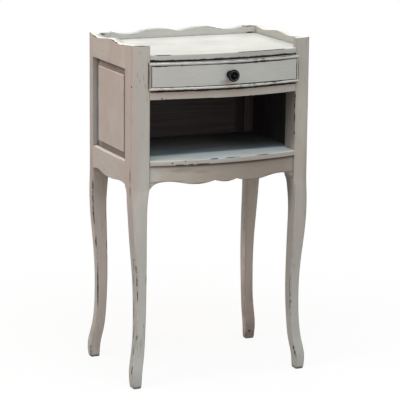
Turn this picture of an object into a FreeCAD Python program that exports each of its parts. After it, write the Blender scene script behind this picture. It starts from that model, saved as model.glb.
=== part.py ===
import FreeCAD, Part
import os
import re
import Sketcher

# Bow-fronted bedside table on cabriole legs: one drawer over an open shelf, a scalloped gallery
# round the top, fielded side panels. Millimetres, +Z up, the front faces -Y, the floor is Z zero.

SIZES = {
    # Case, on the outside of the posts
    "case_width": 400, "case_depth": 242, "bow_radius": 692,
    "post_width": 36, "post_depth": 36, "back_post_width": 44, "back_post_depth": 21.5, "arris": 1.6,
    # Heights, stacked upwards from the floor
    "shelf_height": 483, "niche_height": 125.5, "middle_rail_height": 17.5, "drawer_opening": 62,
    "board_thickness": 12.5, "post_rise": 19.5, "stile_depth": 13,
    # Cabriole legs
    "leg_sweep": 13.2, "ankle_width": 20.7, "ankle_depth": 24, "back_ankle_width": 23.2,
    "back_ankle_depth": 18, "apron_height": 50, "front_toe": 9, "foot_kick": 17,
    # Side frames with their panels
    "rail_thickness": 24, "gallery_thickness": 17, "gallery_dip": 8, "top_rail_drop": 20,
    "panel_sill": 6.5, "side_apron_height": 51, "side_wave": 5.5,
    "panel_setback": 12.5, "panel_tongue": 6, "panel_thickness": 11, "groove_depth": 7, "groove_play": 1,
    "field_rise": 8, "field_side_margin": 19.5, "field_margin": 15, "field_bevel": 1,
    # Back frame
    "back_rail_thickness": 20, "back_gallery_thickness": 16, "back_rail_height": 26,
    "back_panel_thickness": 6, "back_panel_inset": 8, "back_apron_height": 42,
    # Front rails and shelf
    "apron_thickness": 20, "apron_setback": 3, "apron_wave": 8, "shelf_thickness": 10.5,
    "nose_overhang": 2.5, "edge_round": 1.6, "bearer_width": 16, "bearer_height": 12,
    # Joinery
    "tenon_length": 17, "tenon_thickness": 8, "tenon_shoulder": 6, "joint_play": 0.2,
    # Drawer housing
    "runner_width": 27, "runner_height": 15, "guide_height": 12, "kicker_height": 11,
    "dust_thickness": 4, "dust_tongue": 4, "dust_lift": 5,
    # Drawer
    "drawer_gap": 2.4, "drawer_play": 1, "slide_play": 0.3, "lip_overlay": 4, "lip_thickness": 3,
    "lip_play": 0.3, "field_proud": 6.5, "bead_proud": 8, "bead_height": 6, "end_bead_width": 4,
    "quirk": 1.2, "bead_round": 2.4, "end_bead_round": 1.4, "core_depth": 32, "drawer_backroom": 23.5,
    "drawer_headroom": 3.2, "drawer_side": 10, "drawer_back": 10, "drawer_bottom": 4,
    "bottom_lift": 6, "bottom_groove": 5,
    # Knob and its screw
    "knob_radius": 13.4, "knob_reach": 26, "rosette_radius": 8.2, "stem_radius": 7.4,
    "screw_radius": 2, "screw_play": 0.2, "screw_bite": 11, "screw_head_radius": 4, "screw_head_height": 2.6,
    "screw_slot": 0.9,
    # One overrun for all cuts
    "overrun": 20,
}

PLACES = {
    "half_width": "case_width / 2",
    "bow_offset": "sqrt(bow_radius ^ 2 - half_width ^ 2)",
    "bow_rise": "bow_radius - bow_offset",
    "total_depth": "knob_reach + field_proud + bow_rise + case_depth + foot_kick",
    "back_plane": "total_depth / 2 - foot_kick",
    "front_plane": "back_plane - case_depth",
    "bow_centre": "front_plane + bow_offset",
    "post_back": "front_plane + post_depth",
    "back_post_front": "back_plane - back_post_depth",
    "post_inside": "half_width - post_width",
    "back_post_inside": "half_width - back_post_width",
    "post_front_inside": "bow_centre - sqrt(bow_radius ^ 2 - post_inside ^ 2)",
    "slant_reach": "(front_plane - post_front_inside) / 2",
    "stile_back": "post_front_inside + stile_depth",
    "shelf_under": "shelf_height - shelf_thickness",
    "leg_height": "shelf_under - apron_height",
    "middle_rail_low": "shelf_height + niche_height",
    "middle_rail_top": "middle_rail_low + middle_rail_height",
    "board_under": "middle_rail_top + drawer_opening",
    "board_top": "board_under + board_thickness",
    "post_top": "board_top + post_rise",
    "rail_inside": "half_width - rail_thickness",
    "gallery_inside": "half_width - gallery_thickness",
    "back_rail_inside": "back_plane - back_rail_thickness",
    "back_gallery_inside": "back_plane - back_gallery_thickness",
    "top_rail_low": "board_under - top_rail_drop",
    "bottom_rail_top": "shelf_height - panel_sill",
    "bottom_rail_low": "bottom_rail_top - side_apron_height",
    "back_rail_low": "board_under - back_rail_height",
    "back_apron_low": "shelf_height - back_apron_height",
    "panel_face": "half_width - panel_setback",
    "panel_inside": "panel_face - panel_thickness",
    "tongue_reach": "groove_depth - groove_play",
    "back_panel_back": "back_plane - back_panel_inset",
    "back_panel_front": "back_panel_back - back_panel_thickness",
    "side_tenon_low": "half_width - rail_thickness / 2 - tenon_thickness / 2",
    "side_tenon_high": "side_tenon_low + tenon_thickness",
    "bow_tenon_front": "post_front_inside + apron_setback + tenon_shoulder",
    "bow_tenon_back": "bow_tenon_front + tenon_thickness",
    "back_tenon_front": "back_plane - back_rail_thickness / 2 - tenon_thickness / 2",
    "back_tenon_back": "back_tenon_front + tenon_thickness",
    "runner_inside": "rail_inside - runner_width",
    "dust_low": "middle_rail_low + dust_lift",
    "drawer_half": "post_inside - drawer_play",
    "lip_half": "post_inside + lip_overlay",
    "front_low": "middle_rail_top + drawer_gap",
    "front_high": "board_under - drawer_gap",
    "field_half": "lip_half - end_bead_width - quirk",
    "field_low": "front_low + bead_height + quirk",
    "field_high": "front_high - bead_height - quirk",
    "core_back": "bow_centre - bow_radius + core_depth",
    "box_back": "back_rail_inside - drawer_backroom",
    "side_low": "middle_rail_top + slide_play",
    "kicker_low": "board_under - kicker_height",
    "side_high": "kicker_low - drawer_headroom",
    "bottom_low": "side_low + bottom_lift",
    "bottom_high": "bottom_low + drawer_bottom",
    "knob_height": "(front_low + front_high) / 2",
    "knob_face": "bow_centre - bow_radius - field_proud",
    "knob_front": "knob_face - knob_reach",
}

# Down a leg, as shares: height, sweep inwards, width and depth from ankle to post, then the lean to the
# front with how much of the bow's slant is left, or the kick to the back
FRONT_LEG_SHARES = (
    (0.985, 0.0, 0.93, 1.08, 0.6, 1.0), (0.947, 0.02, 0.77, 1.02, 0.74, 0.85),
    (0.876, 0.07, 0.62, 0.92, 0.92, 0.45), (0.734, 0.34, 0.44, 0.78, 0.85, 0.0),
    (0.592, 0.74, 0.18, 0.5, 0.42, 0.0), (0.45, 0.96, 0.04, 0.26, 0.08, 0.0),
    (0.355, 0.96, 0.0, 0.16, 0.04, 0.0), (0.237, 0.79, 0.0, 0.03, 0.16, 0.0),
    (0.142, 0.36, 0.11, 0.0, 0.48, 0.0), (0.071, 0.02, 0.07, 0.06, 0.98, 0.0),
    (0.033, 0.05, -0.02, -0.02, 1.0, 0.0), (0.011, 0.13, -0.12, -0.12, 0.92, 0.0),
    (0.0, 0.24, -0.28, -0.28, 0.8, 0.0),
)
BACK_LEG_SHARES = (
    (0.985, 0.0, 0.75, 0.9, 0.02), (0.947, 0.02, 0.62, 0.7, 0.14), (0.876, 0.07, 0.53, 0.5, 0.33),
    (0.734, 0.34, 0.37, 0.5, 0.45), (0.592, 0.75, 0.17, 0.5, 0.42), (0.45, 0.96, 0.05, 0.4, 0.36),
    (0.355, 0.95, 0.01, 0.2, 0.34), (0.237, 0.79, 0.0, 0.0, 0.4), (0.142, 0.36, 0.06, 0.3, 0.65),
    (0.071, 0.02, 0.04, 0.4, 0.97), (0.033, 0.05, -0.02, 0.1, 1.0), (0.011, 0.13, -0.1, -0.2, 0.95),
    (0.0, 0.24, -0.2, -0.6, 0.86),
)
# Scallops: shares of the run, then of the wave's depth
SIDE_GALLERY_SHARES = (
    (0.0, 0.0), (0.1, 0.2), (0.19, 0.5), (0.275, 0.72), (0.36, 0.5), (0.49, 0.14), (0.62, 0.44),
    (0.72, 0.83), (0.8, 1.0), (0.89, 0.68), (1.0, 0.25),
)
BACK_GALLERY_SHARES = (
    (0.0, 0.84), (0.05, 0.56), (0.115, 0.25), (0.26, 0.0), (0.39, 0.25), (0.5, 0.88), (0.6, 1.0),
    (0.7, 0.75), (0.76, 0.36), (0.84, 0.22), (1.0, 0.25),
)
SIDE_APRON_SHARES = (
    (0.0, 0.35), (0.06, 0.75), (0.165, 0.93), (0.27, 0.62), (0.39, 0.15), (0.53, 0.0), (0.65, 0.2),
    (0.73, 0.55), (0.82, 1.0), (0.93, 0.9), (1.0, 0.6),
)
FRONT_SCALLOP_SHARES = ((-0.149, 0.75), (-0.07, 0.32), (0.0, 0.19), (0.07, 0.32), (0.149, 0.75))
FRONT_APRON_SHARES = (
    (0.149, 0.75), (0.22, 0.37), (0.29, 0.12), (0.366, 0.02), (0.488, 0.12), (0.616, 0.62), (0.774, 0.97),
    (0.866, 0.8), (0.927, 0.37), (0.963, -0.25), (1.0, -1.1),
)
# Knob profile: shares of its reach and of its head's radius, from the neck to the middle of the face
KNOB_HEAD_SHARES = (
    (0.5, 0.58), (0.66, 0.8), (0.74, 0.95), (0.8, 1.0), (0.88, 0.98), (0.93, 0.88), (0.9, 0.74),
    (0.86, 0.66), (0.9, 0.5), (0.97, 0.26), (1.0, 0.0),
)
ROSETTE_SHARES = ((0.0, 1.0), (0.07, 1.0), (0.13, 0.94))
# How far through the lip the drawer front's raised field is rooted
FIELD_ROOT_SHARE = 0.6
QUARTER_TURN = 90

doc = FreeCAD.newDocument("bedside_table")
sheet = doc.addObject("Spreadsheet::Sheet", "Sizes")
nodes = []


def fill_sheet():
    """Writes the driving sizes and the places worked out from them, each in a named cell."""
    for row, (alias, entry) in enumerate(list(SIZES.items()) + list(PLACES.items()), 1):
        sheet.set("A%d" % row, alias)
        sheet.set("B%d" % row, str(entry) if alias in SIZES else "=" + entry)
        sheet.setAlias("B%d" % row, alias)
    doc.recompute()


def bound(formula):
    """Turns a formula of size names into an expression that reads the sheet."""
    def cell(word):
        known = word.group() in SIZES or word.group() in PLACES
        return "Sizes." + word.group() if known else word.group()
    return re.sub(r"[a-z_]+", cell, formula)


def number(formula):
    """The value of a formula of size names, in millimetres."""
    return float(sheet.evalExpression(bound(formula)))


def bind(item, formulas):
    """Binds an object's properties to formulas of size names."""
    for path, formula in formulas.items():
        item.setExpression(path, bound(formula))


def node(item, label):
    """Names a finished sub-part."""
    item.Label = label
    nodes.append(item)
    return item


def box(x, y, z):
    """A block between two formulas along each axis."""
    block = doc.addObject("Part::Box", "block")
    for size, place, (low, high) in (("Length", "x", x), ("Width", "y", y), ("Height", "z", z)):
        bind(block, {size: "(%s) - (%s)" % (high, low), "Placement.Base." + place: low})
    return block


def cut(base, *tools):
    """Cuts one tool after another from a base."""
    for tool in tools:
        result = doc.addObject("Part::Cut", "cut")
        result.Base = base
        result.Tool = tool
        base = result
    return base


def fuse(*pieces):
    """Joins pieces that are one solid."""
    result = doc.addObject("Part::MultiFuse", "fuse")
    result.Shapes = list(pieces)
    result.Refine = True
    return result


def mirrored(item, label):
    """The same sub-part on the other side of the middle plane."""
    twin = doc.addObject("Part::Mirroring", "mirror")
    twin.Source = item
    twin.Normal = FreeCAD.Vector(1, 0, 0)
    return node(twin, label)


def pair(item, name):
    """Names a right-hand sub-part and adds its left-hand twin."""
    node(item, "right_" + name)
    mirrored(item, "left_" + name)


def grown(span, play):
    """A span with a play at both ends."""
    return ("(%s) - %s" % (span[0], play), "(%s) + %s" % (span[1], play))


def new_body(name):
    """An empty body."""
    return doc.addObject("PartDesign::Body", name)


def new_sketch(body, plane, offset):
    """A sketch on one of the body's own planes, moved along its normal."""
    sketch = body.newObject("Sketcher::SketchObject", "outline")
    support = [item for item in body.Origin.OriginFeatures if item.Role == plane][0]
    sketch.AttachmentSupport = [(support, "")]
    sketch.MapMode = "FlatFace"
    bind(sketch, {"AttachmentOffset.Base.z": offset})
    return sketch


def hold(sketch, kind, geometry, point, formula):
    """Ties one coordinate of a point of the sketch to a formula."""
    index = sketch.addConstraint(Sketcher.Constraint(kind, -1, 1, geometry, point, number(formula)))
    bind(sketch, {"Constraints[%d]" % index: formula})


def draw_lines(sketch, points, closed=True):
    """Draws straight edges through points given as formulas; returns the edges' numbers."""
    places = [FreeCAD.Vector(number(across), number(up), 0) for across, up in points]
    ends = list(zip(range(len(points)), range(1, len(points)))) + ([(len(points) - 1, 0)] if closed else [])
    lines = [sketch.addGeometry(Part.LineSegment(places[a], places[b])) for a, b in ends]
    for before, after in zip(lines, lines[1:] + (lines[:1] if closed else [])):
        sketch.addConstraint(Sketcher.Constraint("Coincident", before, 2, after, 1))
    return lines


def polygon(body, plane, offset, points):
    """A closed outline of straight edges, each corner bound to the sheet."""
    sketch = new_sketch(body, plane, offset)
    for line, (across, up) in zip(draw_lines(sketch, points), points):
        hold(sketch, "DistanceX", line, 1, across)
        hold(sketch, "DistanceY", line, 1, up)
    return sketch


def add_bow(sketch, radius, half):
    """Draws the bowed front edge from left to right about the bow's centre."""
    middle = FreeCAD.Vector(0, number("bow_centre"), 0)
    circle = Part.Circle(middle, FreeCAD.Vector(0, 0, 1), number(radius))
    left = FreeCAD.Vector(-number(half), number(bow_y(radius, half)), 0)
    right = FreeCAD.Vector(-left.x, left.y, 0)
    bow = sketch.addGeometry(Part.ArcOfCircle(circle, circle.parameter(left), circle.parameter(right)))
    sketch.addConstraint(Sketcher.Constraint("PointOnObject", bow, 3, -2))
    hold(sketch, "DistanceY", bow, 3, "bow_centre")
    bind(sketch, {"Constraints[%d]" % sketch.addConstraint(
        Sketcher.Constraint("Radius", bow, number(radius))): radius})
    hold(sketch, "DistanceX", bow, 1, "-(%s)" % half)
    hold(sketch, "DistanceX", bow, 2, half)
    return bow


def bow_y(radius, half):
    """Where a bow of some radius stands at some distance from the middle."""
    return "bow_centre - sqrt((%s) ^ 2 - (%s) ^ 2)" % (radius, half)


def bow_outline(body, offset, radius, half, rear):
    """A bowed front edge closed behind by straight edges through the rear points, right to left."""
    sketch = new_sketch(body, "XY_Plane", offset)
    bow = add_bow(sketch, radius, half)
    ends = [(half, bow_y(radius, half))]
    points = ends + rear + [("-(%s)" % half, ends[0][1])]
    lines = draw_lines(sketch, points, closed=False)
    sketch.addConstraint(Sketcher.Constraint("Coincident", bow, 2, lines[0], 1))
    sketch.addConstraint(Sketcher.Constraint("Coincident", lines[-1], 2, bow, 1))
    for line, (across, up) in zip(lines[1:], rear):
        hold(sketch, "DistanceX", line, 1, across)
        hold(sketch, "DistanceY", line, 1, up)
    return sketch


def bow_band(body, offset, outer, inner, half):
    """A bowed band between two radii about the bow's centre."""
    sketch = new_sketch(body, "XY_Plane", offset)
    front = add_bow(sketch, outer, half)
    rear = add_bow(sketch, inner, half)
    for end in (1, 2):
        side = "-(%s)" % half if end == 1 else half
        line = draw_lines(sketch, [(side, bow_y(outer, half)), (side, bow_y(inner, half))], closed=False)[0]
        sketch.addConstraint(Sketcher.Constraint("Coincident", front, end, line, 1))
        sketch.addConstraint(Sketcher.Constraint("Coincident", rear, end, line, 2))
    return sketch


def pad(body, sketch, length):
    """Pads a sketch along its normal."""
    feature = body.newObject("PartDesign::Pad", "pad")
    feature.Profile = sketch
    bind(feature, {"Length": length})
    return feature


def round_edges(body, feature, radius, test):
    """Rounds the edges of a feature whose middle passes the test."""
    doc.recompute()
    names = []
    for index, edge in enumerate(feature.Shape.Edges, 1):
        middle = edge.valueAt((edge.FirstParameter + edge.LastParameter) / 2)
        if test(middle, edge):
            names.append("Edge%d" % index)
    fillet = body.newObject("PartDesign::Fillet", "round")
    fillet.Base = (feature, names)
    bind(fillet, {"Radius": radius})
    return fillet


def wave_tool(points, direction, level):
    """A cutter behind a scalloped edge: everything between the wave and a far level, right across."""
    over = number("overrun")
    first, last = points[0][0], points[-1][-1]
    ends = [FreeCAD.Vector(point.x, point.y, level) for point in (first, last)]
    edges = []
    for run in points:
        curve = Part.BSplineCurve()
        curve.interpolate(run)
        edges.append(curve.toShape())
    for start, stop in ((last, ends[1]), (ends[1], ends[0]), (ends[0], first)):
        edges.append(Part.makeLine(start, stop))
    face = Part.Face(Part.Wire(edges))
    face.translate(direction * -over)
    across = number("case_width") if abs(direction.x) else number("total_depth")
    tool = doc.addObject("Part::Feature", "wave")
    tool.Shape = face.extrude(direction * (across + over + over))
    return tool


def side_wave(shares, front, back, level, depth, far):
    """A cutter for a scallop along the side, on both sides at once."""
    start, run = number(front), number(back) - number(front)
    points = [FreeCAD.Vector(-number("half_width"), start + run * along, number(level) - number(depth) * drop)
              for along, drop in shares]
    return wave_tool([points], FreeCAD.Vector(1, 0, 0), number(far))


def cross_wave(runs, half, level, depth, far):
    """A cutter for a scallop across the width, run by run from left to right."""
    front = -number("total_depth") / 2
    points = [[FreeCAD.Vector(number(half) * along, front, number(level) - number(depth) * drop)
               for along, drop in run] for run in runs]
    return wave_tool(points, FreeCAD.Vector(0, 1, 0), number(far))


def both_ways(shares):
    """A half wave and its mirror image, as two runs that meet in the middle or frame a third."""
    return tuple((-along, drop) for along, drop in reversed(shares)), tuple(shares)


def leg_section(outer, inner, front_outer, front_inner, back):
    """Eight points round a leg: a four-sided section with its arrises taken off."""
    slope = "((%s) - (%s)) / ((%s) - (%s))" % (front_inner, front_outer, outer, inner)
    return [
        ("(%s) - arris" % outer, "(%s) + arris * %s" % (front_outer, slope)),
        (outer, "(%s) + arris" % front_outer),
        (outer, "(%s) - arris" % back),
        ("(%s) - arris" % outer, back),
        ("(%s) + arris" % inner, back),
        (inner, "(%s) - arris" % back),
        (inner, "(%s) + arris" % front_inner),
        ("(%s) + arris" % inner, "(%s) - arris * %s" % (front_inner, slope)),
    ]


def leg_blank(name, width, ankle, top, shares, depth_places):
    """A straight post over a cabriole leg, lofted down through its sections."""
    body = new_body(name)
    pad(body, polygon(body, "XY_Plane", "leg_height", top), "post_top - leg_height")
    sections = [polygon(body, "XY_Plane", "leg_height", top)]
    for height, sweep, wide, *across in shares:
        outer = "half_width - leg_sweep * %s" % sweep
        inner = "%s - %s - (%s - %s) * %s" % (outer, ankle, width, ankle, wide)
        points = leg_section(outer, inner, *depth_places(*across))
        sections.append(polygon(body, "XY_Plane", "leg_height * %s" % height, points))
    loft = body.newObject("PartDesign::AdditiveLoft", "leg")
    loft.Profile = sections[0]
    loft.Sections = sections[1:]
    body.Tip = loft
    return body


def front_leg_places(deep, lean, slant):
    """Front, at the outer and the inner arris, and back of a front leg."""
    front = "front_plane - front_toe * %s" % lean
    outer = "%s + slant_reach * %s" % (front, slant)
    inner = "%s - slant_reach * %s" % (front, slant)
    return outer, inner, "%s + ankle_depth + (post_depth - ankle_depth) * %s" % (front, deep)


def back_leg_places(deep, kick):
    """Front and back of a back leg, whose foot kicks out behind."""
    back = "back_plane + foot_kick * %s" % kick
    front = "%s - back_ankle_depth - (back_post_depth - back_ankle_depth) * %s" % (back, deep)
    return front, front, back


# Spans that several pieces share
SIDE_RUN = ("post_back", "back_post_front")
TENON_X = ("side_tenon_low", "side_tenon_high")
TENON_RUN = ("post_back - tenon_length", "back_post_front + tenon_length")
PANEL_X = ("panel_face - panel_tongue", "panel_face")
TOP_TENON_Z = ("top_rail_low + groove_depth + joint_play", "board_under")
BOTTOM_TENON_Z = ("leg_height + tenon_shoulder", "bottom_rail_top - groove_depth - joint_play")
BOW_TENON_Y = ("bow_tenon_front", "bow_tenon_back")
BOW_TENON_X = ("-(post_inside + tenon_length)", "post_inside + tenon_length")
MIDDLE_TENON_Z = ("middle_rail_low + tenon_shoulder / 2", "middle_rail_top - tenon_shoulder / 2")
APRON_TENON_Z = ("leg_height + tenon_shoulder", "shelf_under - tenon_shoulder")
BACK_TENON_Y = ("back_tenon_front", "back_tenon_back")
BACK_TENON_X = ("-(back_post_inside + tenon_length)", "back_post_inside + tenon_length")
BACK_TOP_TENON_Z = ("back_rail_low + groove_depth + joint_play", "board_under")
BACK_BOTTOM_TENON_Z = ("back_apron_low + tenon_shoulder", "shelf_height - groove_depth - joint_play")
BACK_PANEL_Y = ("back_panel_front", "back_panel_back")
GROOVE_Z = ("bottom_rail_top - groove_depth", "top_rail_low + groove_depth")
BACK_GROOVE_Z = ("shelf_height - groove_depth", "back_rail_low + groove_depth")
DUST_Z = ("dust_low", "dust_low + dust_thickness")


def make_waves():
    """The scalloped cutters of the gallery and the aprons."""
    sky = "post_top + overrun"
    ground = "leg_height - overrun - overrun"
    return {
        "side_top": side_wave(SIDE_GALLERY_SHARES, "front_plane", "back_plane", "post_top",
                              "gallery_dip", sky),
        "back_top": cross_wave(both_ways(BACK_GALLERY_SHARES), "half_width", "post_top", "gallery_dip", sky),
        "side_low": side_wave(SIDE_APRON_SHARES, *SIDE_RUN, "bottom_rail_low", "-side_wave", ground),
        "front_low": cross_wave((both_ways(FRONT_APRON_SHARES)[0], FRONT_SCALLOP_SHARES, FRONT_APRON_SHARES),
                                "post_inside", "leg_height + apron_wave", "-apron_wave", ground),
    }


def mortises(x, y, *heights):
    """Mortises for a rail's tenons, with the joint's play all round."""
    play = "joint_play"
    return [box(grown(x, play), grown(y, play), grown(z, play)) for z in heights]


def make_legs(waves):
    """Four posts with their legs, mortised for the rails and grooved for the panels."""
    top = leg_section("half_width", "post_inside", "front_plane", "post_front_inside", "post_back")
    front = leg_blank("front_leg", "post_width", "ankle_width", top, FRONT_LEG_SHARES, front_leg_places)
    cuts = [
        box(grown(PANEL_X, "joint_play"), ("post_back - groove_depth", "post_back + overrun"), GROOVE_Z),
        *mortises(BOW_TENON_X, BOW_TENON_Y, MIDDLE_TENON_Z, APRON_TENON_Z),
        *mortises(TENON_X, TENON_RUN, TOP_TENON_Z, BOTTOM_TENON_Z),
        box(("post_inside - overrun", "gallery_inside"), ("stile_back", "post_back + overrun"),
            ("board_under", "post_top + overrun")),
    ]
    pair(cut(front, waves["side_top"], *cuts), "front_leg")

    top = leg_section("half_width", "back_post_inside", "back_post_front", "back_post_front", "back_plane")
    back = leg_blank("back_leg", "back_post_width", "back_ankle_width", top, BACK_LEG_SHARES, back_leg_places)
    back_cuts = [
        box(grown(PANEL_X, "joint_play"),
            ("back_post_front - overrun", "back_post_front + groove_depth"), GROOVE_Z),
        box(("back_post_inside - overrun", "back_post_inside + groove_depth"),
            grown(BACK_PANEL_Y, "joint_play"), BACK_GROOVE_Z),
        box(("back_post_inside - overrun", "gallery_inside"),
            ("back_post_front - overrun", "back_gallery_inside"), ("board_under", "post_top + overrun")),
        *mortises(TENON_X, TENON_RUN, TOP_TENON_Z, BOTTOM_TENON_Z),
        *mortises(BACK_TENON_X, BACK_TENON_Y, BACK_TOP_TENON_Z, BACK_BOTTOM_TENON_Z),
    ]
    pair(cut(back, waves["side_top"], waves["back_top"], *back_cuts), "back_leg")


def make_sides(waves):
    """Side frames: a gallery rail that carries the top, a scalloped lower rail and a fielded panel."""
    groove_x = grown(PANEL_X, "joint_play")
    top_rail = fuse(box(("rail_inside", "half_width"), SIDE_RUN, ("top_rail_low", "board_under")),
                    box(("gallery_inside", "half_width"), SIDE_RUN, ("board_under", "post_top")),
                    box(TENON_X, TENON_RUN, TOP_TENON_Z))
    groove = box(groove_x, SIDE_RUN, ("top_rail_low - overrun", "top_rail_low + groove_depth"))
    pair(cut(top_rail, waves["side_top"], groove), "top_rail")

    low_rail = fuse(box(("rail_inside", "half_width"), SIDE_RUN, ("bottom_rail_low", "bottom_rail_top")),
                    box(TENON_X, TENON_RUN, BOTTOM_TENON_Z))
    groove = box(groove_x, SIDE_RUN, ("bottom_rail_top - groove_depth", "bottom_rail_top + overrun"))
    pair(cut(low_rail, waves["side_low"], groove), "bottom_rail")

    opening_z = ("bottom_rail_top", "top_rail_low")
    tongue = box(PANEL_X, grown(SIDE_RUN, "tongue_reach"), grown(opening_z, "tongue_reach"))
    inner = box(("panel_inside", "panel_face"), grown(SIDE_RUN, "(-joint_play)"),
                grown(opening_z, "(-joint_play)"))
    pair(fuse(tongue, inner, raised_field()), "side_panel")


def raised_field():
    """The raised middle of a side panel, bevelled all round."""
    wedge = doc.addObject("Part::Wedge", "field")
    low_y, high_y = ("post_back + field_side_margin", "back_post_front - field_side_margin")
    low_z, high_z = ("bottom_rail_top + field_margin", "top_rail_low - field_margin")
    bind(wedge, {
        "Xmin": "-(%s)" % high_y, "Xmax": "-(%s)" % low_y, "Zmin": low_z, "Zmax": high_z,
        "X2min": "-(%s) + field_bevel" % high_y, "X2max": "-(%s) - field_bevel" % low_y,
        "Z2min": "(%s) + field_bevel" % low_z, "Z2max": "(%s) - field_bevel" % high_z,
        "Ymin": "panel_face", "Ymax": "panel_face + field_rise",
    })
    wedge.Placement.Rotation = FreeCAD.Rotation(FreeCAD.Vector(0, 0, -1), QUARTER_TURN)
    return wedge


def make_back(waves):
    """Back frame: a gallery rail, a lower rail and a thin panel in their grooves."""
    run = ("-back_post_inside", "back_post_inside")
    groove_y = grown(BACK_PANEL_Y, "joint_play")
    top_rail = fuse(box(run, ("back_rail_inside", "back_plane"), ("back_rail_low", "board_under")),
                    box(run, ("back_gallery_inside", "back_plane"), ("board_under", "post_top")),
                    box(BACK_TENON_X, BACK_TENON_Y, BACK_TOP_TENON_Z))
    groove = box(run, groove_y, ("back_rail_low - overrun", "back_rail_low + groove_depth"))
    node(cut(top_rail, waves["back_top"], groove), "back_top_rail")

    low_rail = fuse(box(run, ("back_rail_inside", "back_plane"), ("back_apron_low", "shelf_height")),
                    box(BACK_TENON_X, BACK_TENON_Y, BACK_BOTTOM_TENON_Z))
    groove = box(run, groove_y, ("shelf_height - groove_depth", "shelf_height + overrun"))
    node(cut(low_rail, groove), "back_bottom_rail")

    node(box(grown(run, "tongue_reach"), BACK_PANEL_Y,
             grown(("shelf_height", "back_rail_low"), "tongue_reach")), "back_panel")


def make_top():
    """The top board, notched round the front posts' stiles and let in behind the gallery."""
    body = new_body("board")
    half, wide = "post_inside - joint_play", "gallery_inside - joint_play"
    rear = [(half, "stile_back + joint_play"), (wide, "stile_back + joint_play"),
            (wide, "back_gallery_inside - joint_play")]
    rear = rear + [("-(%s)" % across, up) for across, up in reversed(rear)]
    board = pad(body, bow_outline(body, "board_under", "bow_radius", half, rear), "board_thickness")
    bowed = number("post_inside")
    round_edges(body, board, "edge_round", lambda middle, edge: is_bow(edge) and abs(middle.x) < bowed)
    node(body, "top_board")


def is_bow(edge):
    """Whether an edge is a bowed one."""
    return isinstance(edge.Curve, Part.Circle)


def make_front(waves):
    """Bowed front: the rail under the drawer, the scalloped apron, the nosed front of the shelf."""
    body = new_body("rail")
    rear = [("post_inside", "post_back"), ("-post_inside", "post_back")]
    sketch = bow_outline(body, "middle_rail_low", "bow_radius", "post_inside", rear)
    rail = pad(body, sketch, "middle_rail_height")
    round_edges(body, rail, "edge_round", lambda middle, edge: is_bow(edge))
    tenons = box(BOW_TENON_X, BOW_TENON_Y, MIDDLE_TENON_Z)
    groove = box(("-runner_inside", "runner_inside"),
                 ("post_back - dust_tongue - joint_play", "post_back + overrun"), grown(DUST_Z, "joint_play"))
    node(cut(fuse(body, tenons), groove), "middle_rail")

    body = new_body("apron")
    face = "bow_radius - apron_setback"
    sketch = bow_band(body, "leg_height - apron_wave", face, "%s - apron_thickness" % face, "post_inside")
    pad(body, sketch, "shelf_under - leg_height + apron_wave")
    stubs = [box(span, BOW_TENON_Y, APRON_TENON_Z) for span in (
        ("post_inside - tenon_length", "post_inside + tenon_length"),
        ("-post_inside - tenon_length", "-post_inside + tenon_length"))]
    node(cut(fuse(body, *stubs), waves["front_low"]), "front_apron")

    body = new_body("nosing")
    rear = [("post_inside - joint_play", "post_back"), ("-(post_inside - joint_play)", "post_back")]
    sketch = bow_outline(body, "shelf_under", "bow_radius + nose_overhang", "post_inside - joint_play", rear)
    nose = pad(body, sketch, "shelf_thickness")
    round_edges(body, nose, "edge_round", lambda middle, edge: is_bow(edge))
    node(body, "shelf_nosing")


def make_shelf():
    """The dark shelf board behind the nosing and the bearers under it."""
    body = new_body("shelf")
    side, inner = "rail_inside - joint_play", "back_post_inside - joint_play"
    points = [(side, "post_back"), (side, "back_post_front - joint_play"),
              (inner, "back_post_front - joint_play"), (inner, "back_rail_inside")]
    points = points + [("-(%s)" % across, up) for across, up in reversed(points)]
    pad(body, polygon(body, "XY_Plane", "shelf_under", points), "shelf_thickness")
    node(body, "shelf_board")
    pair(box(("rail_inside - bearer_width", "rail_inside"), SIDE_RUN,
             ("shelf_under - bearer_height", "shelf_under")), "shelf_bearer")


def make_housing():
    """What the drawer runs in: runners, guides, kickers and the dust board between the runners."""
    runner = box(("runner_inside", "rail_inside"), SIDE_RUN,
                 ("middle_rail_top - runner_height", "middle_rail_top"))
    groove = box(("runner_inside - overrun", "runner_inside + dust_tongue + joint_play"), SIDE_RUN,
                 grown(DUST_Z, "joint_play"))
    pair(cut(runner, groove), "drawer_runner")
    pair(box(("post_inside", "rail_inside"), SIDE_RUN, ("middle_rail_top", "middle_rail_top + guide_height")),
         "drawer_guide")
    pair(box(("runner_inside", "rail_inside"), SIDE_RUN, ("kicker_low", "board_under")), "drawer_kicker")
    board = box(("-runner_inside - dust_tongue", "runner_inside + dust_tongue"), SIDE_RUN, DUST_Z)
    tongue = box(("-runner_inside + joint_play", "runner_inside - joint_play"),
                 ("post_back - dust_tongue", "post_back"), DUST_Z)
    node(fuse(board, tongue), "dust_board")


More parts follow.
